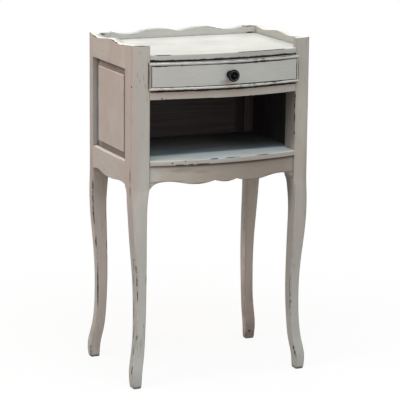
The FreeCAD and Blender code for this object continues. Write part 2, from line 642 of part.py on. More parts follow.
def make_drawer_front():
    """The bowed drawer front, lipped over the posts, with its raised field and the bore for the knob."""
    body = new_body("front")
    tall = "front_high - front_low"
    lip = "bow_radius + lip_thickness"
    pad(body, bow_band(body, "front_low", lip, "bow_radius + lip_play", "lip_half"), tall)
    core_rear = [("drawer_half", "core_back"), ("-drawer_half", "core_back")]
    core = "bow_radius + lip_thickness / 2"
    pad(body, bow_outline(body, "front_low", core, "drawer_half", core_rear), tall)
    field = "bow_radius + field_proud"
    rear_y = bow_y("bow_radius + lip_thickness * %s" % FIELD_ROOT_SHARE, "field_half")
    field_rear = [("field_half", rear_y), ("-field_half", rear_y)]
    pad(body, bow_outline(body, "field_low", field, "field_half", field_rear), "field_high - field_low")
    bore = doc.addObject("Part::Cylinder", "bore")
    bind(bore, {"Radius": "screw_radius + screw_play", "Height": "core_depth + field_proud + overrun",
                "Placement.Base.y": "core_back + overrun / 2", "Placement.Base.z": "knob_height"})
    bore.Placement.Rotation = FreeCAD.Rotation(FreeCAD.Vector(1, 0, 0), QUARTER_TURN)
    groove = box(("-drawer_half + drawer_side - bottom_groove", "drawer_half - drawer_side + bottom_groove"),
                 ("core_back - bottom_groove - joint_play", "core_back + overrun"),
                 ("bottom_low - joint_play", "bottom_high + joint_play"))
    node(cut(body, bore, groove), "drawer_front")


def make_bead(label, low, high, spread, turn, radius, along):
    """A bead let into the drawer front's edge, following the bow through an angle.

    Its nose is rounded along the bow, or else up and down.
    """
    body = new_body("bead")
    near, far = "-(bow_radius + lip_thickness + joint_play)", "-(bow_radius + bead_proud)"
    sketch = polygon(body, "YZ_Plane", "0", [(near, low), (near, high), (far, high), (far, low)])
    sweep = body.newObject("PartDesign::Revolution", "bead")
    sweep.Profile = sketch
    sweep.ReferenceAxis = (sketch, ["V_Axis"])
    sweep.Midplane = True
    bind(sweep, {"Angle": spread})
    inside = number("bow_radius + (lip_thickness + bead_proud) / 2")

    def is_nose(middle, edge):
        return FreeCAD.Vector(middle.x, middle.y, 0).Length > inside and is_bow(edge) == along

    round_edges(body, sweep, radius, is_nose)
    bind(body, {"Placement.Base.y": "bow_centre", "Placement.Rotation.Angle": turn})
    node(body, label)


def make_beads():
    """The drawer's bead: two long strips and two short ends."""
    angle = "asin((lip_half) / (bow_radius + bead_proud))"
    for label, low, high in (("drawer_bead_top", "front_high - bead_height", "front_high"),
                             ("drawer_bead_bottom", "front_low", "front_low + bead_height")):
        make_bead(label, low, high, "2 * " + angle, "0", "bead_round", True)
    short = "asin(end_bead_width / (bow_radius + bead_proud))"
    for label, sign in (("drawer_bead_right", ""), ("drawer_bead_left", "-")):
        make_bead(label, "front_low + bead_height", "front_high - bead_height", short,
                  "%s(%s - %s / 2)" % (sign, angle, short), "end_bead_round", False)


def make_drawer_box():
    """Drawer sides, back and a bottom that slides in their grooves."""
    inner = "drawer_half - drawer_side"
    bottom_z = ("bottom_low", "bottom_high")
    side = box((inner, "drawer_half"), ("core_back", "box_back"), ("side_low", "side_high"))
    groove = box(("%s - overrun" % inner, "%s + bottom_groove" % inner),
                 ("core_back - overrun", "box_back + overrun"), grown(bottom_z, "joint_play"))
    pair(cut(side, groove), "drawer_side")
    node(box(("-(%s)" % inner, inner), ("box_back - drawer_back", "box_back"), ("bottom_high", "side_high")),
         "drawer_back")
    wide = "%s + bottom_groove - joint_play" % inner
    node(box(("-(%s)" % wide, wide), ("core_back - bottom_groove", "box_back"), bottom_z), "drawer_bottom")


def make_knob():
    """A turned knob with a ringed face on a small rosette, held by a screw from inside the drawer."""
    body = new_body("turned_knob")
    bore, hole_end = "screw_radius + screw_play / 2", "-screw_bite - screw_play"
    rosette = [("-knob_reach * %s" % out, "rosette_radius * %s" % wide) for out, wide in ROSETTE_SHARES]
    head = [("-knob_reach * %s" % out, "knob_radius * %s" % wide) for out, wide in KNOB_HEAD_SHARES]
    stem = [(rosette[-1][0], "stem_radius")]
    points = [("0", bore)] + rosette + stem + head + [(hole_end, "0"), (hole_end, bore)]
    sketch = polygon(body, "YZ_Plane", "0", points)
    turn = body.newObject("PartDesign::Revolution", "turning")
    turn.Profile = sketch
    turn.ReferenceAxis = (sketch, ["H_Axis"])
    bind(body, {"Placement.Base.y": "knob_face", "Placement.Base.z": "knob_height"})
    node(body, "drawer_knob")

    body = new_body("screw")
    tip, seat, end = "knob_face - screw_bite", "core_back", "core_back + screw_head_height"
    points = [(tip, "0"), (tip, "screw_radius"), (seat, "screw_radius"), (seat, "screw_head_radius"),
              (end, "screw_head_radius"), (end, "0")]
    sketch = polygon(body, "YZ_Plane", "0", points)
    turn = body.newObject("PartDesign::Revolution", "turning")
    turn.Profile = sketch
    turn.ReferenceAxis = (sketch, ["H_Axis"])
    bind(body, {"Placement.Base.z": "knob_height"})
    slot = box(("-screw_slot / 2", "screw_slot / 2"),
               ("%s - screw_head_height / 2" % end, "%s + overrun" % end),
               ("knob_height - overrun", "knob_height + overrun"))
    node(cut(body, slot), "knob_screw")


def check():
    """Stops if any object failed or any sub-part has no valid solid."""
    doc.recompute()
    for item in doc.Objects:
        if "Invalid" in item.State or "Error" in item.State:
            raise RuntimeError("%s (%s) failed: %s" % (item.Name, item.Label, item.State))
    for item in nodes:
        shape = item.Shape
        if shape.isNull() or not shape.isValid() or not shape.Solids:
            raise RuntimeError("%s has no valid solid" % item.Label)


def write():
    """Writes each sub-part to its own file."""
    os.makedirs("parts", exist_ok=True)
    for item in nodes:
        item.Shape.exportStep(os.path.join("parts", item.Label + ".step"))
        print("%-20s %d solid, %.0f mm3" % (item.Label, len(item.Shape.Solids), item.Shape.Volume))


fill_sheet()
tools = make_waves()
make_legs(tools)
make_sides(tools)
make_back(tools)
make_top()
make_front(tools)
make_shelf()
make_housing()
make_drawer_front()
make_beads()
make_drawer_box()
make_knob()
check()
write()
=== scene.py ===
"""Dresses the bow-fronted bedside table: soft arrises, worn paint, a dark niche and a black turned knob."""
import logging
import math
from collections.abc import Callable, Iterable
from dataclasses import dataclass
from enum import Enum
from typing import ClassVar

import bmesh
import bpy
from bmesh.types import BMesh
from bpy.types import Material, Node, NodeTree, Object
from mathutils import Matrix, Vector
from mathutils.geometry import interpolate_bezier


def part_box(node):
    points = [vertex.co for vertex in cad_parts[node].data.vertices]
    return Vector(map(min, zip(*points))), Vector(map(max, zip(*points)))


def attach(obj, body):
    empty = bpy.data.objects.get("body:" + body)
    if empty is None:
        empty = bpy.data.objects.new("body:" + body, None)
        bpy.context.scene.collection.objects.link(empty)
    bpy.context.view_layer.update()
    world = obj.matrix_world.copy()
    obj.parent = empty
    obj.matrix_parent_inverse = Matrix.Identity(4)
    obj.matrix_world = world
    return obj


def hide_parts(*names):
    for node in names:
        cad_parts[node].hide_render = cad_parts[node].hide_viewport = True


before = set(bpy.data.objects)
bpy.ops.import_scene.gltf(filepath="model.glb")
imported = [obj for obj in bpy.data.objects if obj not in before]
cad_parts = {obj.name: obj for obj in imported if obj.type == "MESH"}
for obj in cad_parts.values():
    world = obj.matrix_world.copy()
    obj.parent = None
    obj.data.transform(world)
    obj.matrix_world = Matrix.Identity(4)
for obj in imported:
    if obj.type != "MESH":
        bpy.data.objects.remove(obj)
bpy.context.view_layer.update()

logging.basicConfig(level=logging.INFO, format="%(name)s: %(message)s")
log = logging.getLogger("bedside_table")

Colour = tuple[float, float, float]
Place = tuple[float, float, float]
Span = tuple[float, float]
Socket = bpy.types.NodeSocket
Sockets = bpy.types.bpy_prop_collection
Number = float | Socket
Value = Number | tuple[float, ...]
ARRIS_LAYER = "arris"
SIDES = ("right", "left")


class Body(Enum):
    """The bodies that pieces ride on."""

    CARCASS = "carcass"
    DRAWER = "drawer"


class Slot(Enum):
    """The record's material slots."""

    PAINT = "painted_wood"
    DARK = "dark_wood"
    BARE = "bare_wood"
    BLACK = "black_metal"
    STEEL = "screw_steel"


class Grain(Enum):
    """The axis that a piece's grain and brush marks run along, as a squeeze of the pattern."""

    ALONG_X = (0.06, 1.0, 1.0)
    ALONG_Y = (1.0, 0.06, 1.0)
    ALONG_Z = (1.0, 1.0, 0.06)


# Node wiring: how many rays look for edges and hollows, and where each pattern starts to show and is full

RAYS = 8
MOST_NOISE = (0.3, 0.7)
MID_NOISE = (0.25, 0.75)
ALL_NOISE = (0.2, 0.8)
STROKES = (0.60, 0.70)
STROKE_PATCHES = (0.48, 0.62)
EDGE_TURN = (0.99, 0.9)
WORN = (0.72, 0.8)
RUBBED = (0.5, 0.75)
CHANCE_SHARE = 0.62
SPOT_EDGE = (1.0, 0.35)
SCAR_EDGE = (0.0, 0.14)
SPECK_SIZES = (0.03, 0.085)
GRIME_AND_SHADE_CLOUDS = (0.25, 0.7)
GRIME_AND_SHADE_SHARES = (0.7, 1.0)
RINGS = (0.05, 0.5)
RING_COUNT = 9.0
PORES = (0.55, 0.8)
YELLOWED = (0.38, 0.7)
CORNERS = (0.2, 0.75)
SEAMS = (0.3, 0.62)
RUST = (0.52, 0.7)


class Wiring:
    """Adds nodes to a tree and links them."""

    def __init__(self, tree: NodeTree) -> None:
        """Keeps the tree that is being wired."""
        self.tree = tree

    def feed(self, socket: Socket, value: Value) -> None:
        """Links a result to an input, or sets the input.

        Args:
            socket: the input.
            value: what it gets.
        """
        if isinstance(value, Socket):
            self.tree.links.new(value, socket)
        else:
            socket.default_value = value

    def add(self, kind: str, inputs: dict[str | int, Value] | None = None, **settings: object) -> Node:
        """Adds a node.

        Args:
            kind: Blender's name of the node type.
            inputs: values or sockets by the input's name or number.
            settings: the node's own properties.

        Returns:
            The new node.
        """
        node = self.tree.nodes.new(kind)
        for name, value in settings.items():
            setattr(node, name, value)
        for key, value in (inputs or {}).items():
            self.feed(node.inputs[key], value)
        return node

    def math(self, operation: str, first: Number, second: Number = 0.0, clamp: bool = False) -> Socket:
        """Works out a sum of two numbers, kept between 0 and 1 where clamped."""
        node = self.add("ShaderNodeMath", {0: first, 1: second}, operation=operation, use_clamp=clamp)
        return node.outputs[0]

    def vector(self, operation: str, first: Socket, second: Socket | None = None) -> Socket:
        """One sum of vectors.

        Args:
            operation: Blender's name of the sum.
            first: left-hand vector.
            second: right-hand vector, where the sum has one.

        Returns:
            The result's socket, which is a number for a length or a dot product.
        """
        inputs = {0: first} if second is None else {0: first, 1: second}
        node = self.add("ShaderNodeVectorMath", inputs, operation=operation)
        return node.outputs["Value" if operation in ("LENGTH", "DOT_PRODUCT") else "Vector"]

    def ease(self, value: Number, low: Number, high: Number, start: float = 0.0,
             stop: float = 1.0) -> Socket:
        """Maps the range from low to high smoothly onto the one from start to stop."""
        inputs = {"Value": value, "From Min": low, "From Max": high, "To Min": start, "To Max": stop}
        return self.add("ShaderNodeMapRange", inputs, interpolation_type="SMOOTHSTEP").outputs["Result"]

    def noise(self, vector: Socket, scale: float, detail: float = 3.0, roughness: float = 0.5) -> Socket:
        """Makes a cloud of noise, about 0.5, of a number of clouds per metre."""
        inputs = {"Vector": vector, "Scale": scale, "Detail": detail, "Roughness": roughness}
        return self.add("ShaderNodeTexNoise", inputs).outputs[0]

    def blend(self, amount: Number, first: Colour | Socket, second: Colour | Socket,
              mode: str = "MIX") -> Socket:
        """Blends two colours.

        Args:
            amount: share of the second.
            first: colour underneath.
            second: colour on top.
            mode: Blender's name of the blend.

        Returns:
            The blended colour's socket.
        """
        first, second = (tint if isinstance(tint, Socket) else (*tint, 1.0) for tint in (first, second))
        node = self.add("ShaderNodeMix", {0: amount, 6: first, 7: second}, data_type="RGBA", blend_type=mode)
        return node.outputs[2]

    def seen(self) -> Socket:
        """Tells the rays that the picture shows from those that only carry light.

        Returns:
            A socket that is 1 for a ray that is seen, straight, in a mirror or through glass.
        """
        path = self.add("ShaderNodeLightPath")
        seen = self.math("MAXIMUM", path.outputs["Is Camera Ray"], path.outputs["Is Glossy Ray"])
        return self.math("MAXIMUM", seen, path.outputs["Is Transmission Ray"])


class SharedGroup(Wiring):
    """A node group that several finishes use."""

    def __init__(self, name: str, **inputs: str) -> None:
        """Starts the group, with the place on the object as its first input.

        Args:
            name: the group's name.
            inputs: socket types by name.
        """
        super().__init__(bpy.data.node_groups.new(name, "ShaderNodeTree"))
        for socket, kind in {"Vector": "Vector", **inputs}.items():
            self.tree.interface.new_socket(name=socket, in_out="INPUT", socket_type="NodeSocket" + kind)
        self.given = self.add("NodeGroupInput").outputs
        self.place = self.given["Vector"]

    def give(self, **results: Socket) -> NodeTree:
        """Ends the group.

        Args:
            results: what it gives, by name.

        Returns:
            The group's tree.
        """
        for name in results:
            self.tree.interface.new_socket(name=name, in_out="OUTPUT", socket_type="NodeSocketFloat")
        self.add("NodeGroupOutput", results)
        return self.tree


def brush_marks_group() -> NodeTree:
    """Makes the brush marks, soft patches and fine scratches of a hand-painted coat.

    Returns:
        The group, with Streak, Patch and Scratch.
    """
    group = SharedGroup("Brush Marks", Squeeze="Vector")
    along = group.vector("MULTIPLY", group.place, group.given["Squeeze"])
    fine = group.noise(along, scale=900.0, detail=4.0, roughness=0.6)
    coarse = group.noise(along, scale=240.0, roughness=0.55)
    streak = group.math("MULTIPLY", group.math("ADD", fine, coarse), 0.5)
    patch = group.noise(group.place, scale=14.0, detail=4.0, roughness=0.6)
    stroke = group.ease(group.noise(along, scale=420.0, detail=2.0), *STROKES)
    where = group.ease(group.noise(group.place, scale=24.0, detail=2.0), *STROKE_PATCHES)
    return group.give(Streak=streak, Patch=patch, Scratch=group.math("MULTIPLY", stroke, where))


def arris_wear_group() -> NodeTree:
    """Finds where paint is rubbed off along arrises.

    Returns:
        The group, with Worn, a broken line on the edge, and Rubbed, a wider band.
    """
    group = SharedGroup("Arris Wear", Reach="Float", Amount="Float", Extra="Float")
    soft = group.add("ShaderNodeBevel", {"Radius": group.given["Reach"]}, samples=RAYS)
    sharp = group.add("ShaderNodeNewGeometry")
    turn = group.vector("DOT_PRODUCT", soft.outputs[0], sharp.outputs["Normal"])
    facet = group.add("ShaderNodeAttribute", attribute_name=ARRIS_LAYER).outputs["Fac"]
    edge = group.math("MAXIMUM", group.ease(turn, *EDGE_TURN), facet)
    chips = group.noise(group.place, scale=70.0, detail=6.0, roughness=0.66)
    runs = group.noise(group.place, scale=11.0, detail=2.0)
    chance = group.math("MULTIPLY", group.math("ADD", chips, runs), CHANCE_SHARE)
    chance = group.math("ADD", chance, group.math("ADD", group.given["Amount"], group.given["Extra"]))
    worn = group.math("MULTIPLY", edge, group.ease(chance, *WORN), clamp=True)
    rubbed = group.math("MULTIPLY", edge, group.ease(chance, *RUBBED), clamp=True)
    return group.give(Worn=worn, Rubbed=rubbed)


def start_mark_group(name: str) -> tuple[SharedGroup, Socket]:
    """Starts a group that marks a place.

    Args:
        name: the group's name.

    Returns:
        The group, and how far off the mark's centre a point lies as a share of its reach.
    """
    group = SharedGroup(name, Centre="Vector", Reach="Vector")
    off = group.vector("SUBTRACT", group.place, group.given["Centre"])
    return group, group.vector("LENGTH", group.vector("DIVIDE", off, group.given["Reach"]))


def rub_spot_group() -> NodeTree:
    """Makes a soft spot: the group has Mask."""
    group, far = start_mark_group("Rub Spot")
    return group.give(Mask=group.ease(far, *SPOT_EDGE))


def scar_and_shadow_group() -> NodeTree:
    """Makes a ragged dark mark: bare wood where paint has come off, soot, and painted shadow lines along
    gaps.

    Returns:
        The group, with Mask.
    """
    group, far = start_mark_group("Paint Scar")
    ragged = group.noise(group.place, scale=260.0, detail=4.0, roughness=0.6)
    wander = group.noise(group.place, scale=60.0, detail=2.0)
    edge = group.math("SUBTRACT", group.math("ADD", ragged, wander), far)
    return group.give(Mask=group.ease(edge, *SCAR_EDGE))


def specks_group() -> NodeTree:
    """Makes the sparse dark specks and worm holes of a distressed finish.

    Returns:
        The group, with Mask.
    """
    group = SharedGroup("Fly Specks", Share="Float")
    cells = group.add("ShaderNodeTexVoronoi", {"Vector": group.place, "Scale": 55.0}, feature="F1")
    picked = group.add("ShaderNodeSeparateColor", {0: cells.outputs["Color"]})
    few = group.math("LESS_THAN", picked.outputs[0], group.given["Share"])
    size = group.ease(picked.outputs[1], 0.0, 1.0, *SPECK_SIZES)
    dot = group.math("LESS_THAN", cells.outputs["Distance"], size)
    return group.give(Mask=group.math("MULTIPLY", few, dot))


def grime_and_shade_group() -> NodeTree:
    """Finds the corners and seams that dark wax and dirt stay in, by how hidden they are, which also paints
    shade there.

    Returns:
        The group, with Mask.
    """
    group = SharedGroup("Corner Grime And Shade", Reach="Float")
    # Ambient occlusion darkens what is hidden: painted shade in corners and seams, along with the wax and
    # dirt.
    hollow = group.add("ShaderNodeAmbientOcclusion", {"Distance": group.given["Reach"]}, samples=RAYS)
    depth = group.math("SUBTRACT", 1.0, hollow.outputs["AO"])
    cloud = group.noise(group.place, scale=40.0, detail=4.0, roughness=0.6)
    patchy = group.ease(cloud, *GRIME_AND_SHADE_CLOUDS, *GRIME_AND_SHADE_SHARES)
    return group.give(Mask=group.math("MULTIPLY", depth, patchy, clamp=True))


def grain_group() -> NodeTree:
    """Makes the long grain of sawn wood.

    Returns:
        The group, with Band, the broad rings, and Pore, the fine pores.
    """
    group = SharedGroup("Long Grain", Squeeze="Vector")
    along = group.vector("MULTIPLY", group.place, group.given["Squeeze"])
    drift = group.noise(along, scale=26.0, detail=2.0)
    rings = group.math("FRACT", group.math("MULTIPLY", drift, RING_COUNT))
    band = group.ease(group.math("ABSOLUTE", group.math("SUBTRACT", rings, 0.5)), *RINGS)
    return group.give(Band=band, Pore=group.noise(along, scale=1400.0, roughness=0.6))


GROUPS = {
    "brush": brush_marks_group(), "wear": arris_wear_group(), "spot": rub_spot_group(),
    "scar_and_shadow": scar_and_shadow_group(), "specks": specks_group(), "grime_and_shade": grime_and_shade_group(), "grain": grain_group(),
}


class FinishGraph(Wiring):
    """A material's node tree: a Principled surface, object coordinates and the shared groups."""

    def __init__(self, name: str) -> None:
        """Makes the material with a bare surface.

        Args:
            name: the material's name.
        """
        self.material = bpy.data.materials.new(name)
        self.material.use_nodes = True
        super().__init__(self.material.node_tree)
        self.surface = self.tree.nodes["Principled BSDF"]
        self.place = self.add("ShaderNodeTexCoord").outputs["Object"]

    def group(self, key: str, **inputs: Value) -> Sockets:
        """Places a shared group.

        Args:
            key: which group.
            inputs: values or sockets by the inputs' names in lower case.

        Returns:
            What the group gives.
        """
        node = self.add("ShaderNodeGroup", node_tree=GROUPS[key])
        for name, value in {"vector": self.place, **inputs}.items():
            self.feed(node.inputs[name.capitalize()], value)
        return node.outputs

    def axis(self, letter: str) -> Socket:
        """The place along one axis."""
        return self.add("ShaderNodeSeparateXYZ", {0: self.place}).outputs[letter]

    def set(self, **values: Value) -> None:
        """Sets or links inputs of the surface, by their names with underscores."""
        for name, value in values.items():
            self.feed(self.surface.inputs[name.replace("_", " ")], value)

    def bump(self, height: Socket, depth: float) -> None:
        """Raises the surface by a height map from 0 to 1, over a depth in metres."""
        node = self.add("ShaderNodeBump", {"Height": height, "Distance": depth, "Strength": 1.0})
        self.set(Normal=node.outputs["Normal"])


# Finishes

DRY_SHEEN = 0.3
# Black for soot on the soles, and for painted shade in seams and in the panel's dark corner.
SOOT_AND_SHADOW_BLACK = (0.012, 0.010, 0.009)
# Near-black that paints the shade at the back of the niche and near its right wall.
PAINTED_SHADE_DARK = (0.012, 0.011, 0.011)


@dataclass(frozen=True)
class Mark:
    """A place that a finish treats apart.

    Attributes:
        group: the shared group that draws it.
        centre: where it lies, in metres.
        reach: how far it goes along each axis.
    """

    group: ClassVar[str] = "spot"
    centre: Place
    reach: Place

    def mask(self, graph: FinishGraph) -> Socket:
        """Where it lies on a surface, from 0 to 1."""
        return graph.group(self.group, centre=self.centre, reach=self.reach)["Mask"]


@dataclass(frozen=True)
class ScarAndShadowLine(Mark):
    """A ragged dark mark in the paint: chips and soot, and along the gaps round the drawer and the shelf's
    nosing, painted shadow lines.
    """

    group: ClassVar[str] = "scar_and_shadow"


@dataclass(frozen=True)
class RubSpot(Mark):
    """A stretch of arris that hands, feet or cleaning have rubbed more, or less, than the rest.

    Attributes:
        strength: how much it adds to the wear.
    """

    strength: float = 0.3


@dataclass(frozen=True)
class Tint(Mark):
    """A soft patch of another colour in the paint: a stain, a paler wiped place, and in places painted shade
    and painted light.

    Attributes:
        tone: its colour.
        strength: how much of it covers the paint.
    """

    tone: Colour
    strength: float


@dataclass(frozen=True)
class ChalkPaint:
    """Chalk paint over dark wood, waxed and rubbed through.

    Attributes:
        tone: the paint.
        warm_tone: where it has yellowed.
        rubbed_tone: where it is rubbed thin.
        wood: the wood under it.
        wax: dark wax, in scratches and in corners, where it also paints shade.
        wear_reach: how far from an arris the wear goes.
        wear: how much of the arrises is worn.
        thinned: how much the rubbed tone shows.
        specks: share of places with a speck.
        scratches: how dark the fine scratches along the grain are.
        streaks: how much the brush marks darken and lighten the paint.
        corner_reach: how wide a corner holds wax and painted shade.
        corner_wax_and_shade: how much wax and painted shade darken corners.
        seam_reach: how wide a seam holds soot and painted shade.
        seam_soot_and_shade: how much soot and painted shade darken seams.
        roughness: least and most of the waxed coat.
        relief: depth of brush marks and bare places.
        floor_light_tone: the paint's tone near the floor, painted in place of the light that the floor
            throws back.
        floor_light_heights: where that tone starts to fade, and ends.
    """

    tone: Colour
    warm_tone: Colour
    rubbed_tone: Colour = (0.58, 0.57, 0.53)
    wood: Colour = (0.030, 0.020, 0.014)
    wax: Colour = (0.085, 0.070, 0.056)
    wear_reach: float = 0.0026
    wear: float = 0.03
    thinned: float = 0.4
    specks: float = 0.0
    scratches: float = 0.3
    streaks: Span = (0.955, 1.03)
    corner_reach: float = 0.013
    corner_wax_and_shade: float = 0.6
    seam_reach: float = 0.003
    seam_soot_and_shade: float = 1.0
    roughness: Span = (0.48, 0.64)
    relief: float = 0.0002
    floor_light_tone: Colour = (0.405, 0.43, 0.415)
    floor_light_heights: Span = (0.12, 0.34)

    def material(self, name: str, grain: Grain, marks: Iterable[Mark] = ()) -> Material:
        """Makes the paint for one piece.

        Args:
            name: the material's name.
            grain: which way the brush went.
            marks: where this piece is worn, scarred or stained, and where shade and light are painted.

        Returns:
            The material.
        """
        graph = FinishGraph(name)
        brush = graph.group("brush", squeeze=grain.value)
        bare = graph.group("specks", share=self.specks)["Mask"]
        extra: Number = 0.0
        colour = graph.blend(graph.ease(brush["Patch"], *YELLOWED), self.tone, self.warm_tone)
        # Near the floor the paint takes another tone, painted in place of the light that the floor throws
        # back.
        foot = graph.ease(graph.axis("Z"), *self.floor_light_heights, 1.0, 0.0)
        colour = graph.blend(foot, colour, self.floor_light_tone)
        for mark in marks:
            # Ragged marks show the dark wood: chips, and painted shadow lines along gaps.
            if isinstance(mark, ScarAndShadowLine):
                bare = graph.math("MAXIMUM", bare, mark.mask(graph))
                continue
            mask = graph.math("MULTIPLY", mark.mask(graph), mark.strength)
            if isinstance(mark, Tint):
                colour = graph.blend(mask, colour, mark.tone)
            else:
                extra = graph.math("ADD", extra, mask)
        wear = graph.group("wear", reach=self.wear_reach, amount=self.wear, extra=extra)
        bare = graph.math("MAXIMUM", bare, wear["Worn"])
        # Corners and seams darken by how hidden they are: wax and soot, and painted shade.
        corner = graph.group("grime_and_shade", reach=self.corner_reach)["Mask"]
        seam = graph.group("grime_and_shade", reach=self.seam_reach)["Mask"]
        colour = graph.blend(graph.math("MULTIPLY", brush["Scratch"], self.scratches), colour, self.wax)
        shade = graph.ease(brush["Streak"], *MOST_NOISE, *self.streaks)
        shade = graph.add("ShaderNodeCombineColor", {0: shade, 1: shade, 2: shade}).outputs[0]
        colour = graph.blend(1.0, colour, shade, "MULTIPLY")
        colour = graph.blend(graph.ease(corner, *CORNERS, 0.0, self.corner_wax_and_shade), colour, self.wax)
        colour = graph.blend(graph.ease(seam, *SEAMS, 0.0, self.seam_soot_and_shade), colour, SOOT_AND_SHADOW_BLACK)
        colour = graph.blend(graph.math("MULTIPLY", wear["Rubbed"], self.thinned), colour, self.rubbed_tone)
        colour = graph.blend(bare, colour, self.wood)
        graph.set(Base_Color=colour, Specular_IOR_Level=DRY_SHEEN,
                  Roughness=graph.ease(brush["Patch"], *ALL_NOISE, *self.roughness))
        graph.bump(graph.math("SUBTRACT", graph.math("MULTIPLY", brush["Streak"], 0.5), bare), self.relief)
        return graph.material


@dataclass(frozen=True)
class StainedBoard:
    """Dark stained boards inside the niche.

    Attributes:
        dark: the stain.
        light: the stain where it is thin.
        pore_shade: how thin it is in the pores, least and most.
        patch_shade: how thin it is in patches, least and most.
        roughness: least and most of the dry stain.
        relief: depth of the pores.
        spray: the front paint that has drifted onto it.
        spray_share: how much of that there is at the front.
        spray_run: where that starts to fade, and ends, from front to back.
        back_shade_share: how much painted shade darkens the board towards the back.
        back_shade_run: where that painted shade starts, and is full, from front to back.
    """

    dark: Colour = (0.0215, 0.0205, 0.0225)
    light: Colour = (0.047, 0.045, 0.049)
    pore_shade: Span = (0.5, 1.0)
    patch_shade: Span = (0.4, 1.0)
    roughness: Span = (0.5, 0.7)
    relief: float = 0.00009
    spray: Colour = (0.36, 0.39, 0.385)
    spray_share: float = 0.6
    spray_run: Span = (-0.09, -0.08)
    back_shade_share: float = 0.7
    back_shade_run: Span = (0.2, 0.3)

    def material(self, name: str, grain: Grain, marks: Iterable[Tint] = ()) -> Material:
        """Makes the stain for boards whose grain runs one way.

        Args:
            name: the material's name.
            grain: which way the grain runs.
            marks: where painted shade makes it darker.

        Returns:
            The material.
        """
        graph = FinishGraph(name)
        wood = graph.group("grain", squeeze=grain.value)
        brush = graph.group("brush", squeeze=grain.value)
        tone = graph.math("MULTIPLY", wood["Band"], graph.ease(wood["Pore"], *MOST_NOISE, *self.pore_shade))
        tone = graph.math("MULTIPLY", tone, graph.ease(brush["Patch"], *MID_NOISE, *self.patch_shade))
        colour = graph.blend(tone, self.dark, self.light)
        depth = graph.axis("Y")
        # Painted shade: the board darkens towards the back of the niche.
        back_shade = graph.ease(depth, *self.back_shade_run, 0.0, self.back_shade_share)
        colour = graph.blend(back_shade, colour, PAINTED_SHADE_DARK)
        for mark in marks:
            mask = graph.math("MULTIPLY", mark.mask(graph), mark.strength)
            colour = graph.blend(mask, colour, mark.tone)
        near = graph.ease(depth, *self.spray_run, self.spray_share, 0.0)
        drift = graph.math("MULTIPLY", near, brush["Patch"])
        graph.set(Base_Color=graph.blend(drift, colour, self.spray), Specular_IOR_Level=DRY_SHEEN,
                  Roughness=graph.ease(brush["Patch"], *ALL_NOISE, *self.roughness))
        graph.bump(wood["Pore"], self.relief)
        return graph.material


@dataclass(frozen=True)
class RawSoftwood:
    """Unpainted pine of the drawer box and its runners, darkened with age.

    Attributes:
        early: the pale wood.
        late: the darker rings.
        edge: where hands have darkened the arrises.
        wear_reach: how far from an arris that goes.
        wear: how much of the arrises is dark.
        rings: how much the darker rings show.
        pores: how much the darker pores show.
        handled: how dark the arrises are.
        grime_and_shade: how dark the corners are, with dirt and painted shade.
        grime_reach: how wide a corner holds dirt and painted shade.
        roughness: least and most of the sawn wood.
        relief: depth of the pores.
    """

    early: Colour = (0.47, 0.31, 0.165)
    late: Colour = (0.33, 0.185, 0.08)
    edge: Colour = (0.17, 0.10, 0.05)
    wear_reach: float = 0.0015
    wear: float = 0.05
    rings: float = 0.8
    pores: float = 0.45
    handled: float = 0.6
    grime_and_shade: float = 0.5
    grime_reach: float = 0.02
    roughness: Span = (0.58, 0.75)
    relief: float = 0.00015

    def material(self, name: str, grain: Grain) -> Material:
        """Makes the wood for boards whose grain runs one way.

        Args:
            name: the material's name.
            grain: which way the grain runs.

        Returns:
            The material.
        """
        graph = FinishGraph(name)
        wood = graph.group("grain", squeeze=grain.value)
        wear = graph.group("wear", reach=self.wear_reach, amount=self.wear, extra=0.0)
        grime_and_shade = graph.group("grime_and_shade", reach=self.grime_reach)
        colour = graph.blend(graph.math("MULTIPLY", wood["Band"], self.rings), self.early, self.late)
        colour = graph.blend(graph.ease(wood["Pore"], *PORES, 0.0, self.pores), colour, self.late)
        colour = graph.blend(graph.math("MULTIPLY", wear["Rubbed"], self.handled), colour, self.edge)
        # Corners darken with dirt and painted shade.
        colour = graph.blend(graph.math("MULTIPLY", grime_and_shade["Mask"], self.grime_and_shade), colour, self.edge)
        graph.set(Base_Color=colour, Specular_IOR_Level=DRY_SHEEN,
                  Roughness=graph.ease(wood["Pore"], *MOST_NOISE, *self.roughness))
        graph.bump(wood["Pore"], self.relief)
        return graph.material


@dataclass(frozen=True)
class BlackLacquer:
    """Black lacquer on the turned metal knob, dulled on its rims, with a painted highlight on its button.

    Attributes:
        black: the lacquer.
        dull: where it is rubbed, and the painted highlight on the button.
        wear_reach: how far from an arris that goes.
        wear: how much of the arrises is rubbed.
        sheen: how much it mirrors.
        roughness: least and most of the lacquer.
        relief: depth of its unevenness.
    """

    black: Colour = (0.002, 0.0022, 0.0027)
    dull: Colour = (0.075, 0.075, 0.079)
    wear_reach: float = 0.0003
    wear: float = 0.08
    sheen: float = 0.05
    roughness: Span = (0.16, 0.3)
    relief: float = 0.00004

    def material(self, name: str) -> Material:
        """Makes the lacquer.

        Args:
            name: the material's name.

        Returns:
            The material.
        """
        graph = FinishGraph(name)
        wear = graph.group("wear", reach=self.wear_reach, amount=self.wear, extra=0.0)
        brush = graph.group("brush", squeeze=(1.0, 1.0, 1.0))
        graph.set(Base_Color=graph.blend(wear["Rubbed"], self.black, self.dull),
                  Specular_IOR_Level=self.sheen,
                  Roughness=graph.ease(brush["Streak"], *MOST_NOISE, *self.roughness))
        graph.bump(brush["Streak"], self.relief)
        return graph.material


